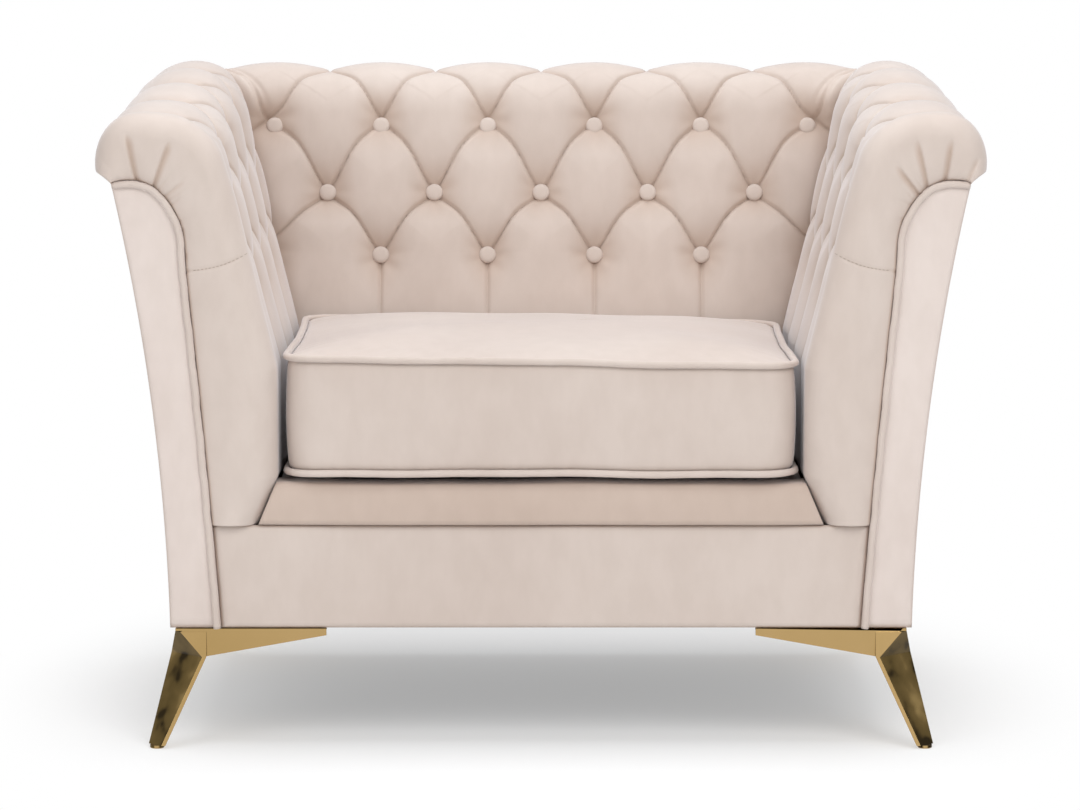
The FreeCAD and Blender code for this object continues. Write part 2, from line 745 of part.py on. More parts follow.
def leg(label, x, y, quarter_turns):
    """A folded corner leg: two wings, a top plate and a splayed foot with a diagonal facet."""
    body = doc.addObject("PartDesign::Body", label)
    body.Label = label
    low = "(body_bottom - dust_thick - leg_plate)"
    high = "(body_bottom - dust_thick)"
    tip = f"({high} - leg_tip)"
    wing = [("0", high), ("leg_wing", high), ("leg_wing", tip), ("leg_crotch_reach", "leg_crotch"),
            ("0", "leg_crotch")]
    side_sketch = polygon_sketch(body, f"{label}_side", "YZ_Plane", wing)
    pad(body, side_sketch, f"{label}_side_wing", "leg_sheet")
    front_sketch = polygon_sketch(body, f"{label}_front", "XZ_Plane", wing)
    pad(body, front_sketch, f"{label}_front_wing", "leg_sheet", True)
    far = "leg_wing"
    lip = "plate_lip"
    near = "(block_reach - screw_near - plate_lip)"
    deep = "(screw_near + plate_lip)"
    plate = [("0", "0"), (far, "0"), (far, lip), (near, deep), (deep, near), (lip, far), ("0", far)]
    holes = [("screw_far", "screw_near", "screw_width"), ("screw_near", "screw_far", "screw_width")]
    plate_sketch = polygon_sketch(body, f"{label}_plate", "XY_Plane", plate, low, holes)
    pad(body, plate_sketch, f"{label}_top_plate", "leg_plate")
    sections = [
        ("glide_height", "(-leg_splay)", "(foot_width - leg_splay)", "leg_bevel"),
        ("leg_crotch", f"(-leg_splay * (1 - leg_crotch / {high}))", "leg_crotch_reach", "leg_bevel"),
        (high, "0", "leg_crotch_reach", "(leg_crotch_reach - leg_bevel)"),
    ]
    outlines = []
    for index, (height, outer, inner, bevel) in enumerate(sections):
        corners = [(inner, inner), (outer, inner), (outer, f"({inner} - {bevel})"),
                   (f"({inner} - {bevel})", outer), (inner, outer)]
        outlines.append(polygon_sketch(body, f"{label}_foot_{index}", "XY_Plane", corners, height))
    foot = body.newObject("PartDesign::AdditiveLoft", f"{label}_foot")
    foot.Profile = outlines[0]
    foot.Sections = outlines[1:]
    foot.Ruled = True
    body.Tip = foot
    body.Placement.Rotation = FreeCAD.Rotation(UP, 90 * quarter_turns)
    body.setExpression("Placement.Base.x", bound(x))
    body.setExpression("Placement.Base.y", bound(y))
    return body


leg("front_left_leg", sided(LEG_X, -1), LEG_FRONT_Y, 0)
leg("front_right_leg", LEG_X, LEG_FRONT_Y, 1)
leg("rear_right_leg", LEG_X, LEG_REAR_Y, 2)
leg("rear_left_leg", sided(LEG_X, -1), LEG_REAR_Y, 3)

leg_x = s.foot_reach - s.leg_inset
leg_front_y = s.leg_splay - s.overall_depth / 2
leg_rear_y = leg_x - corner_shift
plate_low = s.body_bottom - s.dust_thick - s.leg_plate
foot_centre = s.leg_splay - s.foot_width / 2


def leg_corners():
    """Each leg's outer corner with the directions that point away from the chair."""
    for side in NAMES:
        for end, y in ((-1, leg_front_y), (1, leg_rear_y)):
            yield side, end, side * leg_x, y


def glides():
    discs = []
    for side, end, x, y in leg_corners():
        centre = Vector(x + side * foot_centre, y + end * foot_centre, 0)
        disc = Part.makeCylinder(s.glide_width / 2, s.glide_height, centre)
        low_edges = [edge for edge in disc.Edges if edge.BoundBox.ZMax < s.glide_height / 2]
        discs.append(disc.makeChamfer(s.glide_height / 4, low_edges))
    return Part.makeCompound(discs)


def leg_screws():
    """Screws through the top plates and the dust cover into the corner blocks."""
    screws = []
    head = s.screw_width / 2
    length = s.screw_length + s.leg_plate + s.dust_thick
    for side, end, x, y in leg_corners():
        for across, deep in ((s.screw_far, s.screw_near), (s.screw_near, s.screw_far)):
            axis = Vector(x - side * across, y - end * deep, plate_low)
            shank = Part.makeCylinder(s.screw_width / 2, length, axis)
            cap = Part.makeCone(head, 2 * head, head, axis - UP * head)
            screws.append(shank.fuse(cap).removeSplitter())
    return Part.makeCompound(screws)


formed("leg_glides", glides())
formed("leg_screws", leg_screws())

# Seat deck: springs, clips, pad, border and the panel under it

front_run_y = post_front_y + s.clip_width / 2
rear_run_y = s.lining_head + s.lining_thick - corner_shift - s.clip_width / 2


def spring_columns():
    middle = (s.spring_count - 1) / 2
    return [(index - middle) * s.spring_pitch for index in range(int(s.spring_count))]


def spring(x):
    """One waved spring wire, from the front rail to the rear rail."""
    waves = round((rear_run_y - front_run_y) / s.spring_step)
    step = (rear_run_y - front_run_y) / waves
    bend = step / 2
    reach = s.spring_loop / 2 - bend / 2
    edges = []
    for index in range(waves + 1):
        y = front_run_y + index * step
        heading = 1 if index % 2 == 0 else -1
        start = (x - heading * reach, y, s.wire_height)
        end = (x + heading * reach, y, s.wire_height)
        edges.append(line(start, end))
        if index < waves:
            out = (x + heading * (reach + bend), y + bend, s.wire_height)
            edges.append(arc(end, out, (end[0], y + step, s.wire_height)))
    path = Part.Wire(edges)
    ring = Part.makeCircle(s.wire_width / 2, path.Edges[0].firstVertex().Point, ACROSS)
    return path.makePipeShell([Part.Wire(ring)], True, False)


def clip(x, y, wires):
    low = Vector(x - s.clip_width / 2, y - s.clip_width / 2, s.wire_height - s.wire_width)
    return Part.makeBox(s.clip_width, s.clip_width, 2 * s.wire_width, low).cut(wires)


springs = [spring(x) for x in spring_columns()]
clips = []
for x, wire in zip(spring_columns(), springs):
    clips.append(clip(x, front_run_y, wire))
    clips.append(clip(x, rear_run_y, wire))
formed("seat_springs", Part.makeCompound(springs))
formed("spring_clips", Part.makeCompound(clips))

tuck_foot = on_face(s.face_foot)[0].x + s.tuck_reach
plain_arm = pad_solid(post_front_y, past_corner)
plain_back = as_back(pad_solid(-past_corner, past_corner))
border_back_y = post_front_y + s.clip_width


def beside(shape):
    return [shape, mirrored(shape)]


def deck_pad():
    """The pad on the springs, with sides that follow the tucked-in arms and back."""
    low = s.wire_height + s.wire_width / 2
    deep = tuck_foot - corner_shift - border_back_y
    block = Part.makeBox(2 * tuck_foot, deep, s.deck_top - low,
                         Vector(-tuck_foot, border_back_y, low))
    return block.cut(beside(plain_arm) + [plain_back])


def seat_border():
    """The padded roll on the front rail, rounded at its front."""
    y = front_panel_y
    rail_y = y + s.panel_thick
    rise = s.deck_top - base_top
    low = (0, rail_y, s.rail_top)
    step = (0, rail_y, base_top)
    nose = (0, y - s.border_nose, base_top)
    swell = (0, y - s.border_swell, base_top + rise / 2)
    top = (0, y + s.border_round, s.deck_top)
    back = (0, border_back_y, s.deck_top)
    foot = (0, border_back_y, s.rail_top)
    edges = [line(low, step), line(step, nose), arc(nose, swell, top), line(top, back),
             line(back, foot), line(foot, low)]
    face = Part.Face(Part.Wire(edges))
    face.translate(ACROSS * -tuck_foot)
    roll = face.extrude(ACROSS * 2 * tuck_foot)
    return roll.cut(beside(plain_lobe) + beside(plain_arm))


def front_panel():
    """The covered panel between the two facings, under the seam."""
    reach = s.foot_reach - s.facing_width / 2
    block = Part.makeBox(2 * reach, s.panel_thick, base_top - s.body_bottom,
                         Vector(-reach, front_panel_y, s.body_bottom))
    return block.cut(beside(facing_solid(front, post_front_y)))


formed("deck_pad", deck_pad())
formed("seat_border", seat_border())
formed("front_panel", front_panel())

# Loose seat cushion

seat_half = s.seat_width / 2
seat_front_y = front + s.seat_front
seat_rear_y = on_face(s.face_foot)[0].x - corner_shift - s.seat_back_gap
seat_bottom = s.deck_top + s.play
seat_middle = (s.seat_bottom_seam + s.seat_top_seam) / 2
seam_in = s.seat_bulge


def seat_outline(height, inset, corner):
    """The cushion's outline at one height: four drawn-in sides and four rounded corners."""
    x = seat_half - inset
    low = seat_front_y + inset
    high = seat_rear_y - inset
    draw = s.seat_draw_in
    dent = corner * (1 - math.sqrt(0.5))
    middle = (low + high) / 2
    edges = [
        arc((-x + corner, low, height), (0, low + draw, height), (x - corner, low, height)),
        arc((x - corner, low, height), (x - dent, low + dent, height), (x, low + corner, height)),
        arc((x, low + corner, height), (x - draw, middle, height), (x, high - corner, height)),
        arc((x, high - corner, height), (x - dent, high - dent, height),
            (x - corner, high, height)),
        arc((x - corner, high, height), (0, high - draw, height), (-x + corner, high, height)),
        arc((-x + corner, high, height), (-x + dent, high - dent, height),
            (-x, high - corner, height)),
        arc((-x, high - corner, height), (-x + draw, middle, height), (-x, low + corner, height)),
        arc((-x, low + corner, height), (-x + dent, low + dent, height),
            (-x + corner, low, height)),
    ]
    return Part.Wire(edges)


def seat_form(cover):
    """The crowned cushion as a loft of outlines, smaller all round by the cover."""
    crown = s.seat_crown
    drop = s.seat_bottom_seam - seat_bottom
    levels = [
        (seat_bottom + cover, s.seat_bottom_inset),
        (seat_bottom + drop / 3 + cover, s.seat_belly_inset),
        (s.seat_bottom_seam + cover, seam_in),
        (seat_middle - s.seat_easing, seam_in / 5),
        (seat_middle, 0),
        (seat_middle + s.seat_easing, seam_in / 5),
        (s.seat_top_seam - cover, seam_in),
    ]
    crown_steps = 4
    for step in range(1, crown_steps + 1):
        share = step / crown_steps
        rise = crown * (1 - (1 - share) ** 2)
        inset = seam_in + (s.seat_crown_inset - seam_in) * share ** (3 / 2)
        levels.append((s.seat_top_seam + rise - cover, inset))
    corner = s.seat_corner
    outlines = [seat_outline(height, inset + cover, corner) for height, inset in levels]
    return Part.makeLoft(outlines, True, True)


def level_block(low, high):
    return Part.makeBox(s.overall_width, s.overall_depth, high - low,
                        Vector(-s.overall_width / 2, -s.overall_depth / 2, low))


def seat_piping(height):
    """The piping that stands out of a seam, concentric with the cushion's corners."""
    out = s.piping_radius + s.play
    outline = seat_outline(height, seam_in - out, s.seat_corner + out)
    return piping(edge_points(outline.Edges, rings_per_edge), True)


full_cushion = seat_form(0)
cushion_core = seat_form(s.cover_thick)
cushion_cover = full_cushion.cut(cushion_core)
formed("cushion_core", cushion_core)
formed("cushion_bottom_panel", cushion_cover.common(level_block(0, s.seat_bottom_seam)))
formed("cushion_boxing", cushion_cover.common(level_block(s.seat_bottom_seam, s.seat_top_seam)))
formed("cushion_top_panel", cushion_cover.common(level_block(s.seat_top_seam, s.overall_width)))
formed("cushion_low_piping", seat_piping(s.seat_bottom_seam))
formed("cushion_top_piping", seat_piping(s.seat_top_seam))


def zip_tape():
    """A tape along the rear boxing, bent as the boxing is drawn in."""
    reach = seat_half - s.seat_corner
    low = seat_middle - s.zip_width / 2
    near = seat_rear_y + s.play
    far = near + s.zip_thick
    edges = [
        arc((-reach, near, low), (0, near - s.seat_draw_in, low), (reach, near, low)),
        line((reach, near, low), (reach, far, low)),
        arc((reach, far, low), (0, far - s.seat_draw_in, low), (-reach, far, low)),
        line((-reach, far, low), (-reach, near, low)),
    ]
    strip = Part.Face(Part.Wire(edges)).extrude(UP * s.zip_width)
    corner = Vector(-s.zip_length / 2, seat_rear_y - s.overall_depth / 2, low)
    return strip.common(Part.makeBox(s.zip_length, s.overall_depth, s.zip_width, corner))


def zip_slider():
    """The slider with its pull, at the closed end of the zip."""
    share = s.zip_length / (2 * (seat_half - s.seat_corner))
    tape_front = seat_rear_y + s.play + s.zip_thick - s.seat_draw_in * (1 - share ** 2)
    low = Vector(-s.zip_length / 2, tape_front + s.play, seat_middle - s.zip_width / 4)
    body = Part.makeBox(s.zip_width / 2, s.zip_thick, s.zip_width / 2, low)
    pull_low = low + Vector(s.zip_width / 2, 0, s.zip_width / 8)
    pull = Part.makeBox(s.zip_width, s.zip_thick, s.zip_width / 4, pull_low)
    return body.fuse(pull).removeSplitter()


formed("cushion_zip", zip_tape())
formed("zip_slider", zip_slider())

# Check and write


def pieces():
    """Every sub-part: whatever has a shape and isn't a step inside a body."""
    inside = set()
    for item in doc.Objects:
        if item.TypeId == "PartDesign::Body":
            inside.update(member.Name for member in item.Group)
            inside.update(plane.Name for plane in item.Origin.OriginFeatures)
            inside.add(item.Origin.Name)
    return [
        item
        for item in doc.Objects
        if hasattr(item, "Shape") and item.Name not in inside
    ]


doc.recompute()
for item in doc.Objects:
    if "Invalid" in item.State or "Error" in item.State:
        raise RuntimeError(f"{item.Label} failed: {item.State}")
for piece in pieces():
    if piece.Shape.isNull() or not piece.Shape.isValid():
        raise RuntimeError(f"{piece.Label} has no valid shape")

os.makedirs("parts", exist_ok=True)
for piece in pieces():
    piece.Shape.exportStep(f"parts/{piece.Label}.step")
    solids = len(piece.Shape.Solids)
    print(f"{piece.Label}: {solids} solid(s), {piece.Shape.Volume / 1000:.1f} cm3")
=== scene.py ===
import json
import math

import bmesh
import bpy
import numpy as np
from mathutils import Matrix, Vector
from mathutils.bvhtree import BVHTree


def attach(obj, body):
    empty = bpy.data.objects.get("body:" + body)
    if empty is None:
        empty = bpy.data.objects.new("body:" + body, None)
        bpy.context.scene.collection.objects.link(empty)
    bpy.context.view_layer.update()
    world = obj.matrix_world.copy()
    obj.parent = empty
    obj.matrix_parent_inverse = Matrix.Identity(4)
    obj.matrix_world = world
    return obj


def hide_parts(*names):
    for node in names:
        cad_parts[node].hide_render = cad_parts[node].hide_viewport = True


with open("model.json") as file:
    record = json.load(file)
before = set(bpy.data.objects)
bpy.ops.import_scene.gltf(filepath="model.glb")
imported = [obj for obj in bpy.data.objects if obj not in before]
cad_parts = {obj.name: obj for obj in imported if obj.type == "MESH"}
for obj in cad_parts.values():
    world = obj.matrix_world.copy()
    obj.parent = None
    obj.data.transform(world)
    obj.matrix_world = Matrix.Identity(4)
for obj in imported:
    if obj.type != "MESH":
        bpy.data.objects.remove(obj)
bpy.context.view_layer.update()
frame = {"nodes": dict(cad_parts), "record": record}
CHAIR = "chair"
CUSHION = "seat_cushion"

# The shared cross section of arms and back, in metres, as reach from the middle and height

ROLL_RADIUS = 0.080
ROLL_REACH = 0.470
ROLL_HEIGHT = 0.728
LEAN = math.radians(13.3)
FACE_FOOT = 0.470
TUCK_HEIGHT = 0.335
TUCK_REACH = 0.025
SEAM_HEIGHT = 0.276
LIP_REACH = 0.528
LIP_HEIGHT = 0.702
LIP_TURN = math.radians(180 - 13.3 + 8)
CORNER_SHIFT = 0.150
BODY_BOTTOM = 0.147
FOOT_REACH = 0.460
FLARE_SAG = 0.014
FRONT = -0.379
FACING_FRONT = -0.369
BOARD_FRONT = -0.359
POST_FRONT = -0.334
FRONT_PANEL = -0.367
FACING_FOOT = 0.398
NECK = (0.439, 0.605)
HEAD = (0.492, 0.707)
PIPING = 0.0045
DECK_TOP = 0.328
DECK_FRONT = -0.320
LINING_FOOT = 0.388
LINING_HEAD = 0.425
RAIL_FAR = 0.505
RAIL_TOP = 0.765
RAIL_EASE = 0.020
PITCH = 0.146
ROW_HEIGHTS = (0.568, 0.652, 0.742)
CREST_TURN = math.radians(66)
GRAIN = 0.0021


def roll_point(turn):
    """A point of the roll and its normal, turned from where the leaning face meets it."""
    angle = math.pi - LEAN - turn
    normal = (math.cos(angle), math.sin(angle))
    point = (ROLL_REACH + ROLL_RADIUS * normal[0], ROLL_HEIGHT + ROLL_RADIUS * normal[1])
    return point, normal


TANGENT = roll_point(0.0)[0]
FOOT = (TANGENT[0] - (TANGENT[1] - FACE_FOOT) * math.tan(LEAN), FACE_FOOT)
TUCK = (FOOT[0], TUCK_HEIGHT)
BASE = (FOOT[0] + TUCK_REACH, SEAM_HEIGHT)
LIP_START = roll_point(LIP_TURN)[0]
LIP = (LIP_REACH, LIP_HEIGHT)
V_TUCK = math.dist(BASE, TUCK)
V_FACE = V_TUCK + math.dist(TUCK, FOOT)
V_ROLL = V_FACE + math.dist(FOOT, TANGENT)
V_LIP = V_ROLL + ROLL_RADIUS * LIP_TURN
V_END = V_LIP + math.dist(LIP_START, LIP)


def along_line(start, end, share):
    point = (start[0] + (end[0] - start[0]) * share, start[1] + (end[1] - start[1]) * share)
    length = math.dist(start, end)
    normal = ((start[1] - end[1]) / length, (end[0] - start[0]) / length)
    return point, normal


def section(v):
    """The section's point and outward normal at the distance v from the seat seam."""
    if v < V_TUCK:
        return along_line(BASE, TUCK, v / V_TUCK)
    if v < V_FACE:
        return along_line(TUCK, FOOT, (v - V_TUCK) / (V_FACE - V_TUCK))
    if v < V_ROLL:
        return along_line(FOOT, TANGENT, (v - V_FACE) / (V_ROLL - V_FACE))
    if v < V_LIP:
        return roll_point((v - V_ROLL) / ROLL_RADIUS)
    return along_line(LIP_START, LIP, (v - V_LIP) / (V_END - V_LIP))


def section_arrays():
    """Evenly spaced distances up the section, with their points and eased normals."""
    count = int(V_END / GRAIN)
    values = np.linspace(0.0, V_END, count)
    points = np.array([section(v)[0] for v in values])
    normals = np.array([section(v)[1] for v in values])
    ease = 4
    padded = np.pad(normals, ((ease, ease), (0, 0)), mode="edge")
    window = 2 * ease + 1
    eased = sum(padded[k:k + count] for k in range(window)) / window
    eased /= np.linalg.norm(eased, axis=1)[:, None]
    return values, points, eased


def height_to_v(height):
    return V_FACE + (height - FACE_FOOT) / math.cos(LEAN)


ROW_V = [height_to_v(height) for height in ROW_HEIGHTS] + [V_ROLL + ROLL_RADIUS * CREST_TURN]


def smooth(low, high, value):
    share = np.clip((value - low) / (high - low), 0.0, 1.0)
    return share * share * (3 - 2 * share)


# Deep buttoning

ROWS = np.arange(4.0)
LAST_ROW = 3.0
BUTTON_DEPTH = 0.0215
PLEAT_DEPTH = 0.0095
BUTTON_SPREAD = 0.030
BUTTON_CURVE = 1.4
PILLOW_SHAPE = 0.36
CREST_SHAPE = 0.26
CREST_EASE = 0.08
CREST_HOLLOW = 0.25
CREST_SPOKES = 0.3
CREST_PLEAT = 0.15
LOW_PLEAT = 0.55
LOW_BAND = (0.03, -0.12)
PLEAT_BOW = 0.13
BOW_EDGE = 0.02
BOW_FADE = 2.6
CREASE_DEPTH = 0.0026
CREASE_WIDTH = 0.0019
CREASE_CURVE = 1.5
CREASE_SLANT = 0.75
SPOKE_DEPTH = 0.0004
SPOKE_RING = 0.023
SPOKE_BAND = 0.012


def nearest_button(a, v, level):
    """Distance, way across, way up, column and row of the button nearest to each place."""
    own_row = np.clip(np.round(level), 0.0, LAST_ROW)
    nearest = None
    for step in (-1, 0, 1):
        row = np.clip(own_row + step, 0.0, LAST_ROW)
        shift = np.where(row % 2 == 1, 0.0, 0.5)
        column = np.round(a / PITCH - shift) + shift
        across = a - column * PITCH
        up = v - np.interp(row, ROWS, ROW_V)
        found = np.array([np.sqrt(across ** 2 + up ** 2), across, up, column, row])
        nearest = found if nearest is None else np.where(found[0] < nearest[0], found, nearest)
    return nearest


def puckers(angle, column, row):
    """Small rays round each button, turned differently at every button."""
    phase = 40 * np.sin(column * 9.7 + row * 37.1)
    return np.sin(angle * 7 + phase) + 0.9 * np.sin(angle * 4 - phase)


def tuft(a, v, fade):
    """How deep the buttoned surface lies at a, along the pad, and v, up its section."""
    level = np.interp(v, ROW_V, ROWS)
    q = a / PITCH
    bow = PLEAT_BOW * np.sin(2 * np.pi * q) ** 2 * smooth(-BOW_EDGE, BOW_EDGE, level)
    w = level - bow * smooth(LAST_ROW + BOW_EDGE, BOW_FADE, level)
    to_lines = [np.abs(line - np.round(line)) for line in (q + (w - 1) / 2, q - (w - 1) / 2)]
    over = smooth(0.0, CREST_EASE, v - ROW_V[3])
    puff = np.clip(np.sin(np.pi * to_lines[0]) * np.sin(np.pi * to_lines[1]), 0.0, 1.0)
    puff = puff ** (PILLOW_SHAPE + CREST_SHAPE * over)
    distance, across, up, column, row = nearest_button(a, v, level)
    crest = row == LAST_ROW
    hollow = np.exp(-(distance / BUTTON_SPREAD) ** BUTTON_CURVE)
    hollow *= np.where(crest, CREST_HOLLOW, 1.0)
    ring = np.exp(-((distance - SPOKE_RING) / SPOKE_BAND) ** 2)
    ring *= np.where(crest, CREST_SPOKES, 1.0)
    below = smooth(*LOW_BAND, v - ROW_V[0])
    pleat = PLEAT_DEPTH * (1 - LOW_PLEAT * below) * (1 + CREST_PLEAT * over)
    depth = pleat * (1 - puff) + (BUTTON_DEPTH - PLEAT_DEPTH) * hollow
    to_pleat = np.minimum(*to_lines) * PITCH * CREASE_SLANT
    depth += CREASE_DEPTH * np.exp(-(to_pleat / CREASE_WIDTH) ** CREASE_CURVE)
    depth += SPOKE_DEPTH * puckers(np.arctan2(up, across), column, row) * ring
    return depth * fade


# Mesh helpers


def mesh_object(name, vertices, faces):
    mesh = bpy.data.meshes.new(name)
    mesh.from_pydata([tuple(vertex) for vertex in vertices], [], faces)
    mesh.update()
    mesh.polygons.foreach_set("use_smooth", [True] * len(mesh.polygons))
    piece = bpy.data.objects.new(name, mesh)
    bpy.context.scene.collection.objects.link(piece)
    return piece


def grid_faces(rows, columns, closed_rows=False, closed_columns=False):
    """Faces of a grid of points. A tube, closed in one direction, gets its two ends closed."""
    faces = []
    for i in range(rows if closed_rows else rows - 1):
        below = i * columns
        above = (i + 1) % rows * columns
        for j in range(columns if closed_columns else columns - 1):
            k = (j + 1) % columns
            faces.append((below + j, below + k, above + k, above + j))
    if closed_columns and not closed_rows:
        faces.append(tuple(reversed(range(columns))))
        faces.append(tuple(range((rows - 1) * columns, rows * columns)))
    if closed_rows and not closed_columns:
        faces.append(tuple(range(0, rows * columns, columns)))
        faces.append(tuple(reversed(range(columns - 1, rows * columns, columns))))
    return faces


def painted_shade_attribute(piece, values):
    """Keeps how deep each vertex lies, as painted shade that darkens the cloth in its hollows."""
    layer = piece.data.attributes.new("hollow", "FLOAT", "POINT")
    layer.data.foreach_set("value", np.asarray(values, dtype=np.float32))


def turned_grid(piece):
    """Makes all faces look outwards."""
    work = bmesh.new()
    work.from_mesh(piece.data)
    bmesh.ops.recalc_face_normals(work, faces=work.faces)
    work.to_mesh(piece.data)
    work.free()


def solid_object(name, vertices, faces):
    piece = mesh_object(name, vertices, faces)
    turned_grid(piece)
    return piece


def clean(piece):
    """Joins the points that meet where a panel narrows to nothing."""
    work = bmesh.new()
    work.from_mesh(piece.data)
    bmesh.ops.remove_doubles(work, verts=work.verts, dist=0.00005)
    work.to_mesh(piece.data)
    work.free()


def dress(piece, material):
    piece.data.materials.clear()
    piece.data.materials.append(material)


def applied(piece, modifier):
    bpy.context.view_layer.objects.active = piece
    with bpy.context.temp_override(object=piece, active_object=piece):
        bpy.ops.object.modifier_apply(modifier=modifier.name)


def upholster(piece, body, nodes, cloth=None):
    """Puts a velvet piece on its body, in place of its nodes."""
    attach(piece, body)
    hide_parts(*nodes)
    dress(piece, cloth or VELVET)


# Arm and back padding

MITRE_CREASE = 0.009
MITRE_WIDTH = 0.008
MITRE_REACH = 0.05
MITRE_FADE = 0.045
MITRE_CALM = 0.85
CORNER_GATHER = 0.0022
GATHER_GAPS = (0.015, 0.026)
GATHER_WIDTH = 0.0035
ROLL_BAND = (0.66, 0.80)
CREST_BAND = (0.74, 0.79)
ARM_DROP = 0.023
DROP_END = 0.16
OUTER_KEPT = 0.75
OUTER_BAND = (0.46, 0.55)
REAR_RISE = 0.015
RISE_END = 0.25
ARM_SWELL = 0.006
SWELL_FULL = 0.20
SWELL_EASE = 0.05
FRONT_ROUND = 0.034
FRONT_COLUMNS = 84
ARM_COLUMNS = 310
BACK_COLUMNS = 530
FRONT_BELLY = 0.010
FIRST_TUFT = -0.345
FULL_TUFT = -0.312


def inside_corners():
    """The hidden side of the padding, from the lip back to the seat seam."""
    return [
        (RAIL_FAR, LIP_HEIGHT),
        (RAIL_FAR, RAIL_TOP - RAIL_EASE),
        (RAIL_FAR - RAIL_EASE, RAIL_TOP),
        (LINING_HEAD + RAIL_EASE, RAIL_TOP),
        (LINING_HEAD, RAIL_TOP - RAIL_EASE),
        (LINING_HEAD, LIP_HEIGHT),
        (LINING_FOOT, SEAM_HEIGHT),
    ]


def turned_corner(outwards, along, out_centre, along_centre):
    """Leads the roll round the rear corner: outwards stays the distance from the roll's axis."""
    out = outwards - out_centre
    past = along - along_centre
    reach = np.maximum(out, 1e-6)
    turn = np.clip(past / reach, 0.0, 1.0) * (math.pi / 4)
    inside = (out > 0) & (past > 0)
    new_out = np.where(inside, out_centre + reach * np.cos(turn), outwards)
    new_along = np.where(inside, along_centre + reach * np.sin(turn), along)
    return new_out, new_along


def padding(name, node, whole, hollow, inner):
    """Closes the padded surface with its hidden side and puts it in the chair."""
    rows, columns = hollow.shape
    vertices = np.concatenate([whole, np.array(inner)], axis=0)
    hollow = np.concatenate([hollow, np.zeros((len(inner), columns))], axis=0)
    faces = grid_faces(rows + len(inner), columns, closed_rows=True)
    piece = solid_object(name, vertices.reshape(-1, 3), faces)
    # Painted shade for the velvet, darker the deeper the buttoned surface lies
    painted_shade_attribute(piece, hollow.reshape(-1))
    upholster(piece, CHAIR, [node])
    return piece


def tufted_surface(reach, along, start_gap, end_gap, points, normals, fade):
    """Places of the buttoned surface: outwards, along the pad and up, with painted shade that
    deepens with the hollows.
    """
    values = section_arrays()[0]
    v = np.repeat(values[:, None], along.shape[1], axis=1)
    high = smooth(*CREST_BAND, points[:, 1][:, None])
    depth = tuft(along + start_gap, v, fade)
    depth = depth * (1 - MITRE_CALM * smooth(MITRE_FADE, 0.0, end_gap) * high)
    depth = depth + MITRE_CREASE * np.exp(-end_gap / MITRE_WIDTH)
    for gap in GATHER_GAPS:
        depth = depth + CORNER_GATHER * np.exp(-((end_gap - gap) / GATHER_WIDTH) ** 2) * high
    moved = -depth * normals[:, 0][:, None]
    height = points[:, 1][:, None] - depth * normals[:, 1][:, None]
    return reach + moved, moved * smooth(MITRE_REACH, 0.0, end_gap), height, depth / BUTTON_DEPTH


def front_drop(reach, height):
    """How much lower the arm lies at its front end: most on top, less on the outer side."""
    outer = smooth(*OUTER_BAND, reach)
    return ARM_DROP * smooth(*ROLL_BAND, height) * (1 - OUTER_KEPT * outer)


def arm_pad(side, name):
    values, points, normals = section_arrays()
    share = np.linspace(0.0, 1.0, ARM_COLUMNS)
    edge = FRONT + FRONT_ROUND
    reach = points[:, 0][:, None]
    y_end = reach - CORNER_SHIFT
    y = edge + (y_end - edge) * share[None, :]
    fade = smooth(FIRST_TUFT, FULL_TUFT, y)
    out, shifted, z, hollow = tufted_surface(
        reach, y, CORNER_SHIFT, y_end - y, points, normals, fade)
    y = y + shifted
    high = smooth(*ROLL_BAND, points[:, 1][:, None])
    rise = REAR_RISE * smooth(FRONT, RISE_END, y)
    rise += ARM_SWELL * smooth(FRONT, SWELL_FULL, y) * smooth(0.0, SWELL_EASE, y_end - y)
    drop = front_drop(reach, points[:, 1][:, None]) * (1 - smooth(FRONT, DROP_END, y))
    z = z + high * rise - drop
    x, y = turned_corner(out, y, ROLL_REACH, ROLL_REACH - CORNER_SHIFT)
    front_part, front_shade = arm_front(values, points, RIGHT_FOLDS if side > 0 else LEFT_FOLDS)
    whole = np.concatenate([front_part, np.stack([x, y, z], axis=2)], axis=1)
    hollow = np.concatenate([front_shade, hollow], axis=1)
    inner = []
    for corner_reach, corner_height in inside_corners():
        line_y = np.concatenate([
            np.full(FRONT_COLUMNS, POST_FRONT),
            POST_FRONT + (corner_reach - CORNER_SHIFT - POST_FRONT) * share,
        ])
        inner.append(np.stack([
            np.full_like(line_y, corner_reach), line_y, np.full_like(line_y, corner_height)],
            axis=1))
    inner = np.array(inner)
    whole[:, :, 0] *= side
    inner[:, :, 0] *= side
    return padding(f"{name}_arm_padding", f"{name}_arm_pad", whole, hollow, inner)


def back_pad():
    values, points, normals = section_arrays()
    share = np.linspace(-1.0, 1.0, BACK_COLUMNS)
    reach = points[:, 0][:, None]
    x = reach * share[None, :]
    out, shifted, z, hollow = tufted_surface(
        reach, x, 0.0, reach - np.abs(x), points, normals, np.ones_like(x))
    z = z + REAR_RISE * smooth(*ROLL_BAND, points[:, 1][:, None])
    side = np.abs(x) + shifted
    y, side = turned_corner(out - CORNER_SHIFT, side, ROLL_REACH - CORNER_SHIFT, ROLL_REACH)
    whole = np.stack([np.sign(x) * side, y, z], axis=2)
    inner = []
    for corner_reach, corner_height in inside_corners():
        inner.append(np.stack([
            corner_reach * share,
            np.full(BACK_COLUMNS, corner_reach - CORNER_SHIFT),
            np.full(BACK_COLUMNS, corner_height)], axis=1))
    return padding("back_padding", "back_pad", whole, hollow, inner)


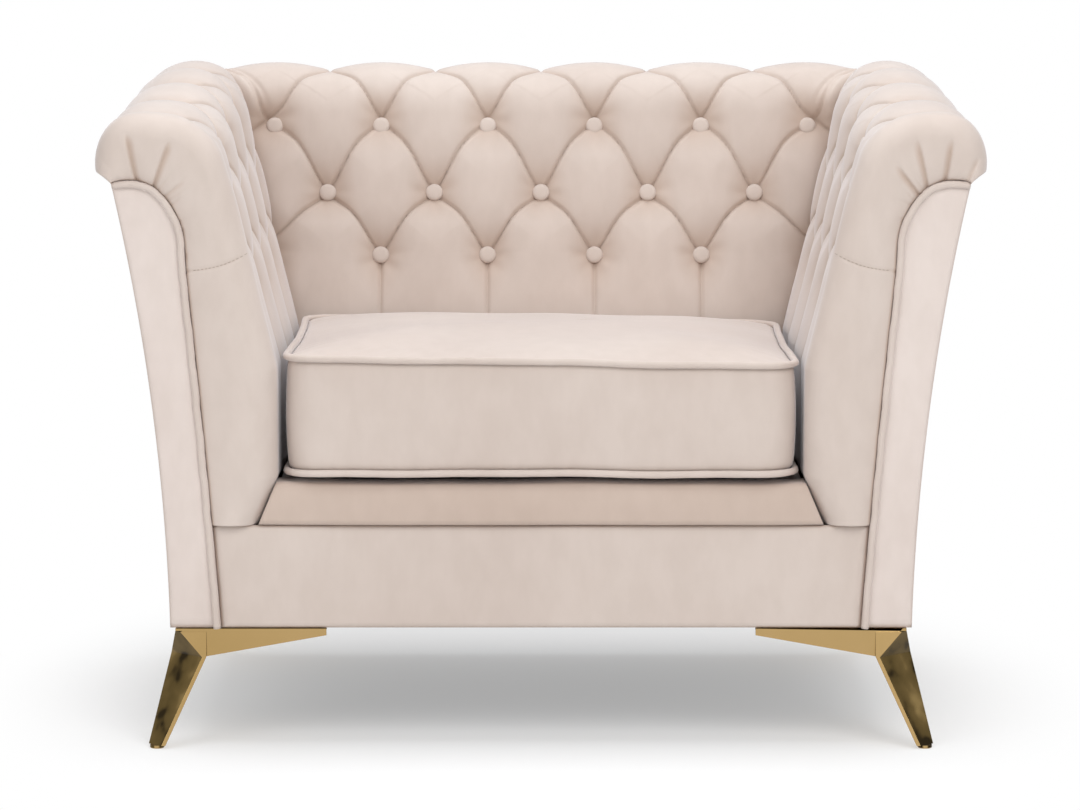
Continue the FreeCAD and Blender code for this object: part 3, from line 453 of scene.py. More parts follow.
def arc_through(start, middle, end, share):
    """A point of the circle arc through three points."""
    ax, az = start
    bx, bz = middle
    cx, cz = end
    d = 2 * (ax * (bz - cz) + bx * (cz - az) + cx * (az - bz))
    ux = ((ax * ax + az * az) * (bz - cz) + (bx * bx + bz * bz) * (cz - az)
          + (cx * cx + cz * cz) * (az - bz)) / d
    uz = ((ax * ax + az * az) * (cx - bx) + (bx * bx + bz * bz) * (ax - cx)
          + (cx * cx + cz * cz) * (bx - ax)) / d
    radius = math.hypot(ax - ux, az - uz)
    first = math.atan2(az - uz, ax - ux)
    last = math.atan2(cz - uz, cx - ux)
    while last - first > math.pi:
        last -= 2 * math.pi
    while last - first < -math.pi:
        last += 2 * math.pi
    angle = first + (last - first) * share
    return ux + radius * math.cos(angle), uz + radius * math.sin(angle)


EDGE_BOW = 0.002
SHOULDER_SHIFT = (-0.010, 0.020)
EDGE_POINTS = 601
EVEN_POINTS = 400
EDGE_EASE = 16


def between(start, end, shift_reach, shift_height):
    """The middle of two points, moved by the shifts."""
    return (start[0] + end[0]) / 2 + shift_reach, (start[1] + end[1]) / 2 + shift_height


def sharp_facing_point(share):
    """The facing's inner edge as the board is cut, with corners at the neck and the head."""
    if share <= 1:
        foot = (FACING_FOOT, BODY_BOTTOM)
        return arc_through(foot, between(foot, NECK, -EDGE_BOW, 0.0), NECK, share)
    if share <= 2:
        return arc_through(NECK, between(NECK, HEAD, *SHOULDER_SHIFT), HEAD, share - 1)
    return along_line(HEAD, LIP, share - 2)[0]


def eased_facing():
    """The same edge as the cloth lies on it, without the corners, and its shares."""
    shares = np.linspace(0.0, 3.0, EDGE_POINTS)
    line = np.array([sharp_facing_point(share) for share in shares])
    steps = np.linalg.norm(np.diff(line, axis=0), axis=1)
    run = np.concatenate([[0.0], np.cumsum(steps)])
    even = np.linspace(0.0, run[-1], EVEN_POINTS)
    window = 2 * EDGE_EASE + 1
    eased = []
    for axis in (0, 1):
        values = np.interp(even, run, line[:, axis])
        padded = np.pad(values, EDGE_EASE, mode="reflect", reflect_type="odd")
        values = sum(padded[k:k + len(even)] for k in range(window)) / window
        eased.append(np.interp(run, even, values))
    return shares, eased[0], eased[1]


FACING_LINE = eased_facing()


def facing_point(share):
    """The facing's inner edge: 0 at its foot, 1 at the neck, 2 at the head, 3 at the lip."""
    shares, reaches, heights = FACING_LINE
    return float(np.interp(share, shares, reaches)), float(np.interp(share, shares, heights))


SEAM_SHADOW = 0.0035
NECK_FROM = 0.622
SEAM_SHARE = (SEAM_HEIGHT - BODY_BOTTOM) / (NECK[1] - BODY_BOTTOM)
HEAD_SHARE = 0.76


def facing_share(v):
    """Which point of the facing's edge the cloth at v is drawn to."""
    neck_v = height_to_v(NECK_FROM)
    if v < neck_v:
        height = section(v)[0][1]
        return SEAM_SHARE + (1 - SEAM_SHARE) * (height - SEAM_HEIGHT) / (NECK_FROM - SEAM_HEIGHT)
    rest = (v - neck_v) / (V_END - neck_v)
    if rest < HEAD_SHARE:
        return 1 + rest / HEAD_SHARE
    return min(2 + (rest - HEAD_SHARE) / (1 - HEAD_SHARE), 3.0)


# Folds and gathers of each arm front, from the piping to the far end as reach and height,
# then their depth and the share of their length that keeps it

LONG_FOLD = 0.0036
GATHER = 0.0020
PUCKER_DENT = 0.0011
LEFT_FOLDS = (
    ((0.498, 0.706), (0.509, 0.762), LONG_FOLD, 0.7),
    ((0.4745, 0.703), (0.4555, 0.7534), LONG_FOLD, 0.7),
    ((0.466, 0.698), (0.449, 0.722), PUCKER_DENT, 0.1),
    ((0.458, 0.688), (0.430, 0.711), GATHER, 0.3),
    ((0.4545, 0.682), (0.427, 0.700), PUCKER_DENT, 0.2),
    ((0.452, 0.676), (0.436, 0.687), PUCKER_DENT, 0.1),
    ((0.4475, 0.652), (0.437, 0.660), PUCKER_DENT, 0.0),
    ((0.446, 0.641), (0.434, 0.648), PUCKER_DENT, 0.0),
    ((0.442, 0.610), (0.430, 0.617), PUCKER_DENT, 0.1),
)
RIGHT_FOLDS = (
    ((0.474, 0.702), (0.4608, 0.757), LONG_FOLD, 0.6),
    ((0.4975, 0.706), (0.5049, 0.757), LONG_FOLD, 0.6),
    ((0.4596, 0.6934), (0.433, 0.727), LONG_FOLD, 0.4),
    ((0.5233, 0.702), (0.5390, 0.736), GATHER, 0.6),
    ((0.466, 0.697), (0.451, 0.720), PUCKER_DENT, 0.1),
    ((0.4545, 0.684), (0.438, 0.700), PUCKER_DENT, 0.1),
    ((0.451, 0.676), (0.433, 0.684), PUCKER_DENT, 0.0),
    ((0.4475, 0.655), (0.436, 0.659), PUCKER_DENT, 0.0),
)
FOLD_WIDTH = 0.0019
FOLD_SOFT_SIDE = 2.6
FOLD_FLARE = 0.5
FOLD_CURVE = 1.6
FOLD_START = (-0.6, -0.2)
FOLD_END = 1.15


def fold_dents(reach, height, folds):
    """How deep the folds lie at each place: sharp on one side, softer on the other."""
    dent = np.zeros_like(reach)
    for start, end, depth, kept in folds:
        length = math.dist(start, end)
        along = ((end[0] - start[0]) / length, (end[1] - start[1]) / length)
        from_x = reach - start[0]
        from_z = height - start[1]
        run = (from_x * along[0] + from_z * along[1]) / length
        aside = from_x * along[1] - from_z * along[0]
        width = FOLD_WIDTH * np.where(aside > 0, 1.0, FOLD_SOFT_SIDE)
        width *= 1 + FOLD_FLARE * np.clip(run, 0.0, 1.0)
        ends = smooth(*FOLD_START, run) * smooth(FOLD_END, kept, run)
        dent += depth * np.exp(-(np.abs(aside) / width) ** FOLD_CURVE) * ends
    return dent


STITCH_LOW = (0.432, 0.593)
STITCH_HIGH = (0.347, 0.622)
STITCH_SAG = 0.006
GROOVE_DEPTH = 0.0013
GROOVE_WIDTH = 0.0024
GROOVE_TOP = 0.66
ROUND_SHARE = 0.62
BELLY_CURVE = 2.4
# Painted shade on the arm front: full at the fold depth FOLD_HOLLOW, and PIPING_SHADE beside the
# piping
FOLD_HOLLOW = 0.004
PIPING_SHADE = 0.8


def stitch_height(reach):
    """The curved seam across the arm front, as a height for each reach."""
    share = (STITCH_LOW[0] - reach) / (STITCH_LOW[0] - STITCH_HIGH[0])
    rise = STITCH_LOW[1] + (STITCH_HIGH[1] - STITCH_LOW[1]) * share
    return rise - STITCH_SAG * np.sin(np.pi * np.clip(share, 0.0, 1.0))


def arm_front(values, points, folds):
    """The padded front: from the piping of the facing out over the rounded front edge."""
    share = np.linspace(1.0, 0.0, FRONT_COLUMNS, endpoint=False)
    rows = []
    painted_shades = []
    for v, point in zip(values, points):
        where = facing_share(v)
        target = facing_point(where)
        span = math.dist(point, target)
        rounding = min(FRONT_ROUND / max(span, 1e-4), ROUND_SHARE)
        reach = point[0] + (target[0] - point[0]) * share
        height = point[1] + (target[1] - point[1]) * share
        part = np.clip(1 - share / rounding, 0.0, 1.0)
        edge = FRONT_ROUND * (1 - np.sqrt(np.clip(1 - part ** 2, 0.0, 1.0)))
        flat = np.clip((share - rounding) / (1 - rounding), 0.0, 1.0)
        drop = front_drop(point[0], point[1]) * (1 - share ** 2)
        dent = fold_dents(reach, height - drop, folds) * smooth(0.10, 0.30, share)
        near_seam = np.exp(-((height - stitch_height(reach)) / GROOVE_WIDTH) ** 2)
        near_seam *= smooth(0.05, 0.18, share) * (height < GROOVE_TOP)
        dent += GROOVE_DEPTH * near_seam
        depth = FRONT + edge + FRONT_BELLY * flat ** BELLY_CURVE + dent
        rows.append(np.stack([reach, depth, height - drop], axis=1))
        # Painted shade in the folds and in a band SEAM_SHADOW wide beside the piping
        at_piping = np.exp(-((1 - share) * span / SEAM_SHADOW) ** 2)
        painted_shades.append(dent / FOLD_HOLLOW + PIPING_SHADE * at_piping)
    return np.array(rows), np.array(painted_shades)


# The loose cushion

SEAT_HALF = 0.320
SEAT_FRONT = -0.371
SEAT_REAR = 0.1648
REAR_GAP = 0.0002
SEAT_CORNER = 0.045
CORNER_LEAST = 0.004
SEAT_LOW = 0.3283
SEAM_LOW = 0.340
SEAM_HIGH = 0.479
SEAM_INSET = 0.006
SEAT_MIDDLE = 0.250
SEAT_CROWN = 0.026
CROWN_CURVE = 2.6
UNDER_SAG = 0.010
SIDE_BULGE = 0.004
SIDE_DRAW = 0.004
UNDER_RINGS = 12
SIDE_RINGS = 11
TOP_RINGS = 20
HIGH_RING = UNDER_RINGS + SIDE_RINGS
SEAT_TILT = 0.0045
WAVE_EASE = 0.004
SEAT_STEP = 0.0135
SWELL_LIMIT = 0.016
SWELL_FRAMES = 20
SWELL_PRESSURE = 4.0
EVENING_ROUNDS = 60
PUCKER = 0.0007
PUCKER_REACH = 0.022
PUCKER_RISE = 0.008
PUCKER_RIM = 0.8
PUCKER_EDGE = 0.05
PUCKER_TURNS = 60

# Waves of the sewn edges: size, turns across, turns front to back, start

SEAT_WAVES = ((0.0005, 23, 0, 1.3), (0.0004, 41, 19, 0.0), (0.0006, -11, 33, 0.0))


def seat_ring(inset, height, count):
    """The cushion's outline at one height: drawn-in sides and rounded corners."""
    half_x = SEAT_HALF - inset
    half_y = (SEAT_REAR - SEAT_FRONT) / 2 - inset
    middle_y = (SEAT_REAR + SEAT_FRONT) / 2
    corner = max(min(SEAT_CORNER, half_y * 0.9) - inset * 0.1, CORNER_LEAST)
    straight_x = half_x - corner
    straight_y = half_y - corner
    quarter = math.pi * corner / 2
    lengths = [2 * straight_x, quarter, 2 * straight_y, quarter] * 2
    ring = []
    for index in range(count):
        left = index / count * sum(lengths)
        run = 0
        while left > lengths[run]:
            left -= lengths[run]
            run += 1
        side = run // 2
        if run % 2 == 0:
            share = left / lengths[run]
            along = left - lengths[run] / 2
            out = (half_x if side % 2 else half_y) - SIDE_DRAW * 4 * share * (1 - share)
            x, y = [(along, -out), (out, along), (-along, out), (-out, -along)][side]
        else:
            turn = math.pi / 2 * (side - 1) + left / corner
            x = (straight_x if side < 2 else -straight_x) + corner * math.cos(turn)
            y = (straight_y if side in (1, 2) else -straight_y) + corner * math.sin(turn)
        ring.append((x, y + middle_y, height))
    return ring


def seat_levels():
    """Insets and heights of the rings, from the middle underneath to the middle on top."""
    levels = []
    for step in range(UNDER_RINGS):
        share = step / UNDER_RINGS
        inset = SEAT_MIDDLE * (1 - share) + SEAM_INSET * share
        levels.append((inset, SEAM_LOW - UNDER_SAG * (1 - share ** 4)))
    for step in range(SIDE_RINGS):
        share = step / SIDE_RINGS
        bulge = SIDE_BULGE * math.sin(math.pi * share) ** 0.5
        levels.append((SEAM_INSET - bulge, SEAM_LOW + (SEAM_HIGH - SEAM_LOW) * share))
    for step in range(TOP_RINGS + 1):
        share = step / TOP_RINGS
        inset = SEAM_INSET + (SEAT_MIDDLE - SEAM_INSET) * share
        levels.append((inset, SEAM_HIGH + SEAT_CROWN * (1 - (1 - share) ** CROWN_CURVE)))
    return levels


def seat_wave(x, y, lift):
    """The unevenness of the sewn edges, with the top's slight tilt by the share lift."""
    wave = sum(size * math.sin(across * x + deep * y + start)
               for size, across, deep, start in SEAT_WAVES)
    return wave - lift * SEAT_TILT * x / SEAT_HALF


def pinned_swell(piece, group):
    """Lets the cover swell over its filling while its seams stay, and keeps the result."""
    start = [(vertex.co.copy(), vertex.normal.copy()) for vertex in piece.data.vertices]
    cloth = piece.modifiers.new("swell", "CLOTH")
    cloth.settings.use_pressure = True
    cloth.settings.uniform_pressure_force = SWELL_PRESSURE
    cloth.settings.vertex_group_mass = group
    cloth.settings.effector_weights.gravity = 0.0
    cloth.settings.quality = 4
    cloth.settings.tension_stiffness = 25
    cloth.settings.compression_stiffness = 25
    cloth.settings.bending_stiffness = 1.5
    scene = bpy.context.scene
    for moment in range(1, SWELL_FRAMES + 1):
        scene.frame_set(moment)
    shown = piece.evaluated_get(bpy.context.evaluated_depsgraph_get())
    swollen = [vertex.co.copy() for vertex in shown.data.vertices]
    piece.modifiers.remove(cloth)
    scene.frame_set(1)
    for vertex, (first, outwards), last in zip(piece.data.vertices, start, swollen):
        swell = (last - first).dot(outwards)
        vertex.co = first + outwards * min(max(swell, 0.0), SWELL_LIMIT)


def evened(piece, levels, count):
    """Evens out how far the swollen cover departs from its crown, more towards the middle."""
    last = len(levels)
    crown = np.array([height for _, height in levels])[:, None]
    swell = np.array([vertex.co.z for vertex in piece.data.vertices]).reshape(last, count) - crown
    share = smooth(HIGH_RING + 1, HIGH_RING + 6, np.arange(last))[:, None]
    for _ in range(EVENING_ROUNDS):
        around = (np.roll(swell, 1, axis=1) + np.roll(swell, -1, axis=1)) / 2
        inner = np.vstack([swell[:1], (swell[:-2] + swell[2:]) / 2,
                           np.full((1, count), swell[-1].mean())])
        swell += ((around + inner) / 2 - swell) * share
    for vertex, height in zip(piece.data.vertices, (crown + swell).reshape(-1)):
        vertex.co.z = height


def subdivided(piece, levels=1):
    modifier = piece.modifiers.new("smooth", "SUBSURF")
    modifier.levels = levels
    modifier.render_levels = levels
    applied(piece, modifier)


def cushion():
    count = int(2 * (2 * SEAT_HALF + SEAT_REAR - SEAT_FRONT) / SEAT_STEP)
    count += count % 2
    levels = seat_levels()
    vertices = []
    for inset, height in levels:
        vertices.extend(seat_ring(inset, height, count))
    faces = grid_faces(len(levels), count, closed_columns=True)
    piece = solid_object("cushion_cover", vertices, faces)
    seams = piece.vertex_groups.new(name="seams")
    for level in (UNDER_RINGS, HIGH_RING):
        seams.add([level * count + index for index in range(count)], 1.0, "REPLACE")
    pinned_swell(piece, "seams")
    evened(piece, levels, count)
    side_limit = SEAT_HALF + SIDE_BULGE
    for vertex in piece.data.vertices:
        place = vertex.co
        place.z = max(place.z, SEAT_LOW)
        place.y = min(place.y, SEAT_REAR - REAR_GAP)
        place.x = max(-side_limit, min(side_limit, place.x))
        if place.z > SEAM_LOW - WAVE_EASE:
            share = min(max((place.z - SEAM_LOW) / (SEAM_HIGH - SEAM_LOW), 0.0), 1.0)
            place.z += seat_wave(place.x, place.y, share)
    rings = {}
    for name, level in (("low", UNDER_RINGS), ("top", HIGH_RING)):
        rings[name] = [piece.data.vertices[level * count + index].co.copy()
                       for index in range(count)]
    piece.vertex_groups.clear()
    subdivided(piece)
    creased_seams(piece, rings)
    covered = ["cushion_core", "cushion_bottom_panel", "cushion_boxing", "cushion_top_panel"]
    upholster(piece, CUSHION, covered)
    for name, ring in rings.items():
        welt(f"cushion_{name}_welt", ring, f"cushion_{name}_piping")


def creased_seams(piece, rings):
    """Small puckers that the sewing leaves beside each seam, along the cushion's edges."""
    for vertex in piece.data.vertices:
        x, y, z = vertex.co
        inside = SEAT_FRONT + PUCKER_EDGE <= y <= SEAT_REAR - PUCKER_EDGE
        if inside and abs(x) <= PUCKER_RIM * SEAT_HALF:
            continue
        for ring in rings.values():
            away = abs(z - ring[0].z)
            if away <= PUCKER_REACH:
                along = math.atan2(y + 0.1, x) * PUCKER_TURNS
                ripple = math.sin(along * 1.7) + 0.6 * math.sin(along * 3.1 + 1.0)
                share = (1 - away / PUCKER_REACH) ** 2 * min(away / PUCKER_RISE, 1.0)
                vertex.co += vertex.normal * (PUCKER * ripple * share)


CORD_SIDES = 12
CORD_RIPPLE = 0.035
WELT_OUT = 0.75


def tube_mesh(name, path, radius, closed, flat_normal):
    """A round cord along a path that lies flat, with a slight ripple from its sewing."""
    count = len(path)
    vertices = []
    for index, point in enumerate(path):
        before = path[index - 1] if closed or index > 0 else point
        after = path[(index + 1) % count] if closed or index < count - 1 else point
        heading = (after - before).normalized()
        side = heading.cross(Vector(flat_normal)).normalized()
        up = side.cross(heading)
        ripple = CORD_RIPPLE * math.sin(index * 2.1) * math.sin(index * 0.37)
        thick = radius * (1 + ripple)
        for turn in range(CORD_SIDES):
            angle = 2 * math.pi * turn / CORD_SIDES
            vertices.append(point + (side * math.cos(angle) + up * math.sin(angle)) * thick)
    faces = grid_faces(count, CORD_SIDES, closed_rows=closed, closed_columns=True)
    return solid_object(name, vertices, faces)


def welt(name, ring, node):
    """The piping of one cushion seam: a cord outside the ring of seam points."""
    centre = Vector((0, (SEAT_REAR + SEAT_FRONT) / 2, 0))
    path = []
    count = len(ring)
    for index, point in enumerate(ring):
        along = (ring[(index + 1) % count] - ring[index - 1]).normalized()
        out = along.cross(Vector((0, 0, 1))).normalized()
        if out.dot(point - centre) < 0:
            out = -out
        path.append(point + out * PIPING * WELT_OUT)
    piece = tube_mesh(name, path, PIPING, True, (0, 0, 1))
    upholster(piece, CUSHION, [node])


# Covers: thin padded panels over boards

EDGE_SHADE = 0.75
EDGE_DROP = 0.8
DROP_LIMIT = 0.9
PUFF_CURVE = 0.55


def panel(name, surface, node, thick, puff, rounding, counts, cloth=None):
    """A covered board: a puffed front with rounded edges, closed by its back.

    surface(u, v) gives a point of the front and its outward normal."""
    rows, columns = counts
    points = [[surface(j / (columns - 1), i / (rows - 1)) for j in range(columns)]
              for i in range(rows)]
    vertices = []
    painted_shades = []
    for layer in (0, 1):
        for i in range(rows):
            for j in range(columns):
                point, normal = points[i][j]
                u = j / (columns - 1)
                v = i / (rows - 1)
                if layer == 0:
                    across = (Vector(points[i][-1][0]) - Vector(points[i][0][0])).length
                    up = (Vector(points[-1][j][0]) - Vector(points[0][j][0])).length
                    edge = min(min(u, 1 - u) * across, min(v, 1 - v) * up)
                    rise = 1 - min(edge / rounding, 1.0)
                    drop = rounding * (1 - math.sqrt(1 - rise * rise)) * EDGE_DROP
                    swell = puff * (16 * u * (1 - u) * v * (1 - v)) ** PUFF_CURVE
                    offset = swell - min(drop, thick * DROP_LIMIT)
                    # Painted shade along the panel's rounded edges and seams
                    painted_shades.append(EDGE_SHADE * rise ** 2)
                else:
                    offset = -thick
                    painted_shades.append(0.0)
                vertices.append(Vector(point) + Vector(normal) * offset)
    faces = grid_faces(rows, columns)
    size = rows * columns
    faces.extend(tuple(size + k for k in reversed(face)) for face in grid_faces(rows, columns))
    border = [j for j in range(columns)]
    border += [i * columns + columns - 1 for i in range(1, rows)]
    border += [(rows - 1) * columns + j for j in range(columns - 2, -1, -1)]
    border += [i * columns for i in range(rows - 2, 0, -1)]
    for here, there in zip(border, border[1:] + border[:1]):
        faces.append((there, here, size + here, size + there))
    piece = mesh_object(name, vertices, faces)
    painted_shade_attribute(piece, painted_shades)
    clean(piece)
    turned_grid(piece)
    upholster(piece, CHAIR, [node], cloth=cloth)


OUTSIDE_PLY = 0.0015
OUTSIDE_REAR_PLY = 0.0012
FRONT_STRIP = 0.02
COVER_LAP = 0.005
LINE_STEP = 0.01
FACING_RUNS = (0.461, 0.122, 0.037)
WELT_POINTS = 150
PANEL_GAP = 0.0005


def curve_normal(low, high):
    """The normal on the outer side of a line that rises from low to high."""
    length = math.dist(low, high)
    return (high[1] - low[1]) / length, -(high[0] - low[0]) / length


def outside_point(share):
    """The outside cover's line from its foot, 0, to the lip, 1, with its normal."""
    foot = (FOOT_REACH, BODY_BOTTOM)
    middle = between(LIP, foot, -FLARE_SAG, 0.0)
    low, here, high = [arc_through(foot, middle, LIP, min(max(share + step, 0), 1))
                       for step in (-LINE_STEP, 0, LINE_STEP)]
    return here, curve_normal(low, high)


def outside_arm(side):
    def surface(u, v):
        (reach, height), normal = outside_point(v)
        first = BOARD_FRONT - COVER_LAP
        last = reach - CORNER_SHIFT
        y = first + (last - first) * u
        out = OUTSIDE_PLY if y < POST_FRONT + FRONT_STRIP else OUTSIDE_REAR_PLY
        return ((side * (reach + out * normal[0]), y, height + out * normal[1]),
                (side * normal[0], 0, normal[1]))
    return surface


def outside_back(u, v):
    (reach, height), normal = outside_point(v)
    y = reach - CORNER_SHIFT + OUTSIDE_PLY * normal[0]
    return (reach * (2 * u - 1), y, height + OUTSIDE_PLY * normal[1]), (0, normal[0], normal[1])


def facing(side):
    def surface(u, v):
        inner = facing_point(facing_along(v))
        outer, _ = outside_point(v)
        x = inner[0] + (outer[0] + OUTSIDE_PLY - inner[0]) * u
        z = inner[1] + (outer[1] - inner[1]) * u
        return (side * x, FACING_FRONT, z), (0, -1, 0)
    return surface


def facing_along(v):
    """Spreads 0 to 1 evenly over the facing edge's three runs."""
    return np.interp(v * sum(FACING_RUNS), np.cumsum((0.0,) + FACING_RUNS), (0, 1, 2, 3))


def facing_welt(side, name, node):
    """The piping along the facing's inner edge, over its head and out under the roll."""
    path = []
    for index in range(WELT_POINTS):
        share = index / (WELT_POINTS - 1)
        low, here, high = [facing_point(facing_along(min(max(share + step, 0), 1)))
                           for step in (-LINE_STEP, 0, LINE_STEP)]
        normal = curve_normal(low, high)
        inset = PIPING + 0.0003 * math.sin(share * 61) + 0.00015 * math.sin(share * 143)
        path.append(Vector((side * (here[0] + inset * normal[0]), FACING_FRONT - PIPING * 0.55,
                            here[1] + inset * normal[1])))
    piece = tube_mesh(name, path, PIPING, False, (0, 1, 0))
    upholster(piece, CHAIR, [node])


def front_panel_surface(u, v):
    z = BODY_BOTTOM + (SEAM_HEIGHT - PANEL_GAP - BODY_BOTTOM) * v
    limit = facing_point((z - BODY_BOTTOM) / (NECK[1] - BODY_BOTTOM))[0] - PANEL_GAP
    return (limit * (2 * u - 1), FRONT_PANEL, z), (0, -1, 0)


def tuck_reach_at(height):
    """How far out the arms' tucked-in sides leave the seat free at a height."""
    share = (TUCK_HEIGHT - height) / (TUCK_HEIGHT - SEAM_HEIGHT)
    return FOOT[0] + TUCK_REACH * share


BORDER_NOSE = 0.0215
BORDER_ROOM = 0.016
BORDER_RISE = 0.048
BORDER_FOOT = 0.003
BORDER_REAR = 0.060
BORDER_CROWN = 0.003
BORDER_CLEAR = 0.0008
BORDER_TURNS = 15
BORDER_COLUMNS = 160
BORDER_SHADE = 0.68
DECK_CLEAR = 0.001
DECK_SINK = 0.0035


def border_profile():
    """The border's section from its seam round the nose and back beside the deck."""
    profile = [(0.004, 0.0002), (0.001, 0.0004)]
    for index in range(BORDER_TURNS + 1):
        turn = math.pi / 2 * index / BORDER_TURNS
        nose = BORDER_NOSE * math.cos(turn) ** 0.75
        profile.append((BORDER_ROOM - nose, BORDER_FOOT + BORDER_RISE * math.sin(turn)))
    top = DECK_TOP - DECK_CLEAR - SEAM_HEIGHT
    profile += [(BORDER_ROOM + back, top) for back in (0.012, 0.030, 0.044)]
    return profile + [(BORDER_REAR, DECK_CLEAR)]


def border():
    """The padded roll under the cushion's front edge."""
    profile = border_profile()
    vertices = []
    for deep, rise in profile:
        half = tuck_reach_at(SEAM_HEIGHT + rise) - BORDER_CLEAR
        for index in range(BORDER_COLUMNS):
            share = 2 * index / (BORDER_COLUMNS - 1) - 1
            x = half * share
            wave = 0.0012 * math.sin(17 * x + 0.6) + 0.0007 * math.sin(37 * x)
            front = BORDER_CROWN * (1 - share ** 8) if deep < 0.012 else 0.0
            y = FRONT_PANEL + deep - front + wave * 0.6
            vertices.append((x, y, SEAM_HEIGHT + rise + wave * rise * 10))
    faces = grid_faces(len(profile), BORDER_COLUMNS, closed_rows=True)
    piece = solid_object("front_border", vertices, faces)
    # Painted shade over the whole border, which lies under the cushion's front edge
    painted_shade_attribute(piece, [BORDER_SHADE] * len(vertices))
    upholster(piece, CHAIR, ["seat_border"])


def deck_surface(u, v):
    half = tuck_reach_at(DECK_TOP) - DECK_CLEAR
    rear = FOOT[0] - CORNER_SHIFT + DECK_CLEAR
    y = DECK_FRONT + (rear - DECK_FRONT) * v
    return (half * (2 * u - 1), y, DECK_TOP - DECK_SINK), (0, 0, 1)


# Buttons

BUTTON_RADIUS = 0.0116
BUTTON_RISE = 0.0042
BUTTON_SINK = 0.0060
BUTTON_SEAT = 0.0155
BUTTON_NECK = 0.86
BUTTON_MIDDLE = 0.0004
DOME_STEPS = 8
BUTTON_SIDES = 28
BACK_ROWS = ((-3, -1, 1, 3), (-4, -2, 0, 2, 4), (-5, -3, -1, 1, 3, 5))
ARM_ROWS = ((-1, 1, 3), (-2, 0, 2, 4), (-1, 1, 3))


def button_rings():
    """The covered button as rings: a soft dome over a slightly flared rim."""
    rings = [(BUTTON_RADIUS * BUTTON_NECK, -BUTTON_SINK)]
    for step in range(DOME_STEPS + 1):
        turn = math.pi / 2 * step / DOME_STEPS
        radius = max(BUTTON_RADIUS * math.cos(turn) ** 0.5, BUTTON_MIDDLE)
        rings.append((radius, BUTTON_RISE * math.sin(turn)))
    return rings


def buttons(name, node, places):
    vertices = []
    faces = []
    rings = button_rings()
    for point, normal in places:
        turn = Vector(normal).to_track_quat("Z", "Y")
        start = len(vertices)
        for radius, rise in rings:
            for index in range(BUTTON_SIDES):
                angle = 2 * math.pi * index / BUTTON_SIDES
                local = Vector((radius * math.cos(angle), radius * math.sin(angle), rise))
                vertices.append(Vector(point) + turn @ local)
        faces.extend(tuple(start + k for k in face)
                     for face in grid_faces(len(rings), BUTTON_SIDES, closed_columns=True))
    piece = solid_object(name, vertices, faces)
    upholster(piece, CHAIR, [node])


def button_places(rows, shift, side):
    """Bottoms of the hollows: side 0 is the back, 1 and -1 the arms."""
    places = []
    for v, columns in zip(ROW_V, rows):
        (reach, height), normal = section(v)
        reach -= normal[0] * BUTTON_SEAT
        height -= normal[1] * BUTTON_SEAT
        for halves in columns:
            place = halves * PITCH / 2 - shift
            if side == 0:
                places.append(((place, reach - CORNER_SHIFT, height), (0, normal[0], normal[1])))
            else:
                places.append(((side * reach, place, height), (side * normal[0], 0, normal[1])))
    return places


# Legs

LEG_TOP = 0.146
LEG_WING = 0.188
LEG_SHEET = 0.004
LEG_TIP = 0.0085
LEG_CROTCH = 0.111
LEG_CROTCH_REACH = 0.0387
LEG_SPLAY = 0.033
FOOT_WIDTH = 0.022
LEG_BEVEL = 0.005
GLIDE_HEIGHT = 0.004
LEG_X = 0.455
LEG_FRONT_Y = -0.367
LEG_REAR_Y = 0.305
EDGE_ROUND = 0.0006
LEG_OUTSET = 0.0006
FACET_END = 0.001
PLATE = 0.003
PLATE_STRIP = 0.012


def prism(name, outline, offset):
    """A closed piece between an outline of points and the same outline moved by the offset."""
    count = len(outline)
    vertices = [Vector(point) for point in outline]
    vertices += [point + Vector(offset) for point in vertices]
    faces = [tuple(range(count)), tuple(reversed(range(count, 2 * count)))]
    faces += [(k, (k + 1) % count, count + (k + 1) % count, count + k) for k in range(count)]
    return solid_object(name, vertices, faces)


def leg_foot(name):
    """The splayed foot: sections from the glide up, with a diagonal facet between bevels."""
    splay_at_crotch = -LEG_SPLAY * (1 - LEG_CROTCH / LEG_TOP)
    inner = LEG_CROTCH_REACH
    sections = [
        (GLIDE_HEIGHT, -LEG_SPLAY, FOOT_WIDTH - LEG_SPLAY, LEG_BEVEL),
        (LEG_CROTCH, splay_at_crotch, inner, LEG_BEVEL),
        (LEG_TOP - LEG_SHEET, -LEG_OUTSET, inner, inner - LEG_BEVEL - FACET_END),
    ]
    vertices = []
    for height, outer, near, bevel in sections:
        for u, w in ((near, near), (outer, near), (outer, near - bevel), (near - bevel, outer),
                     (near, outer)):
            vertices.append((u, w, height))
    faces = grid_faces(len(sections), 5, closed_columns=True)
    return solid_object(name, vertices, faces)


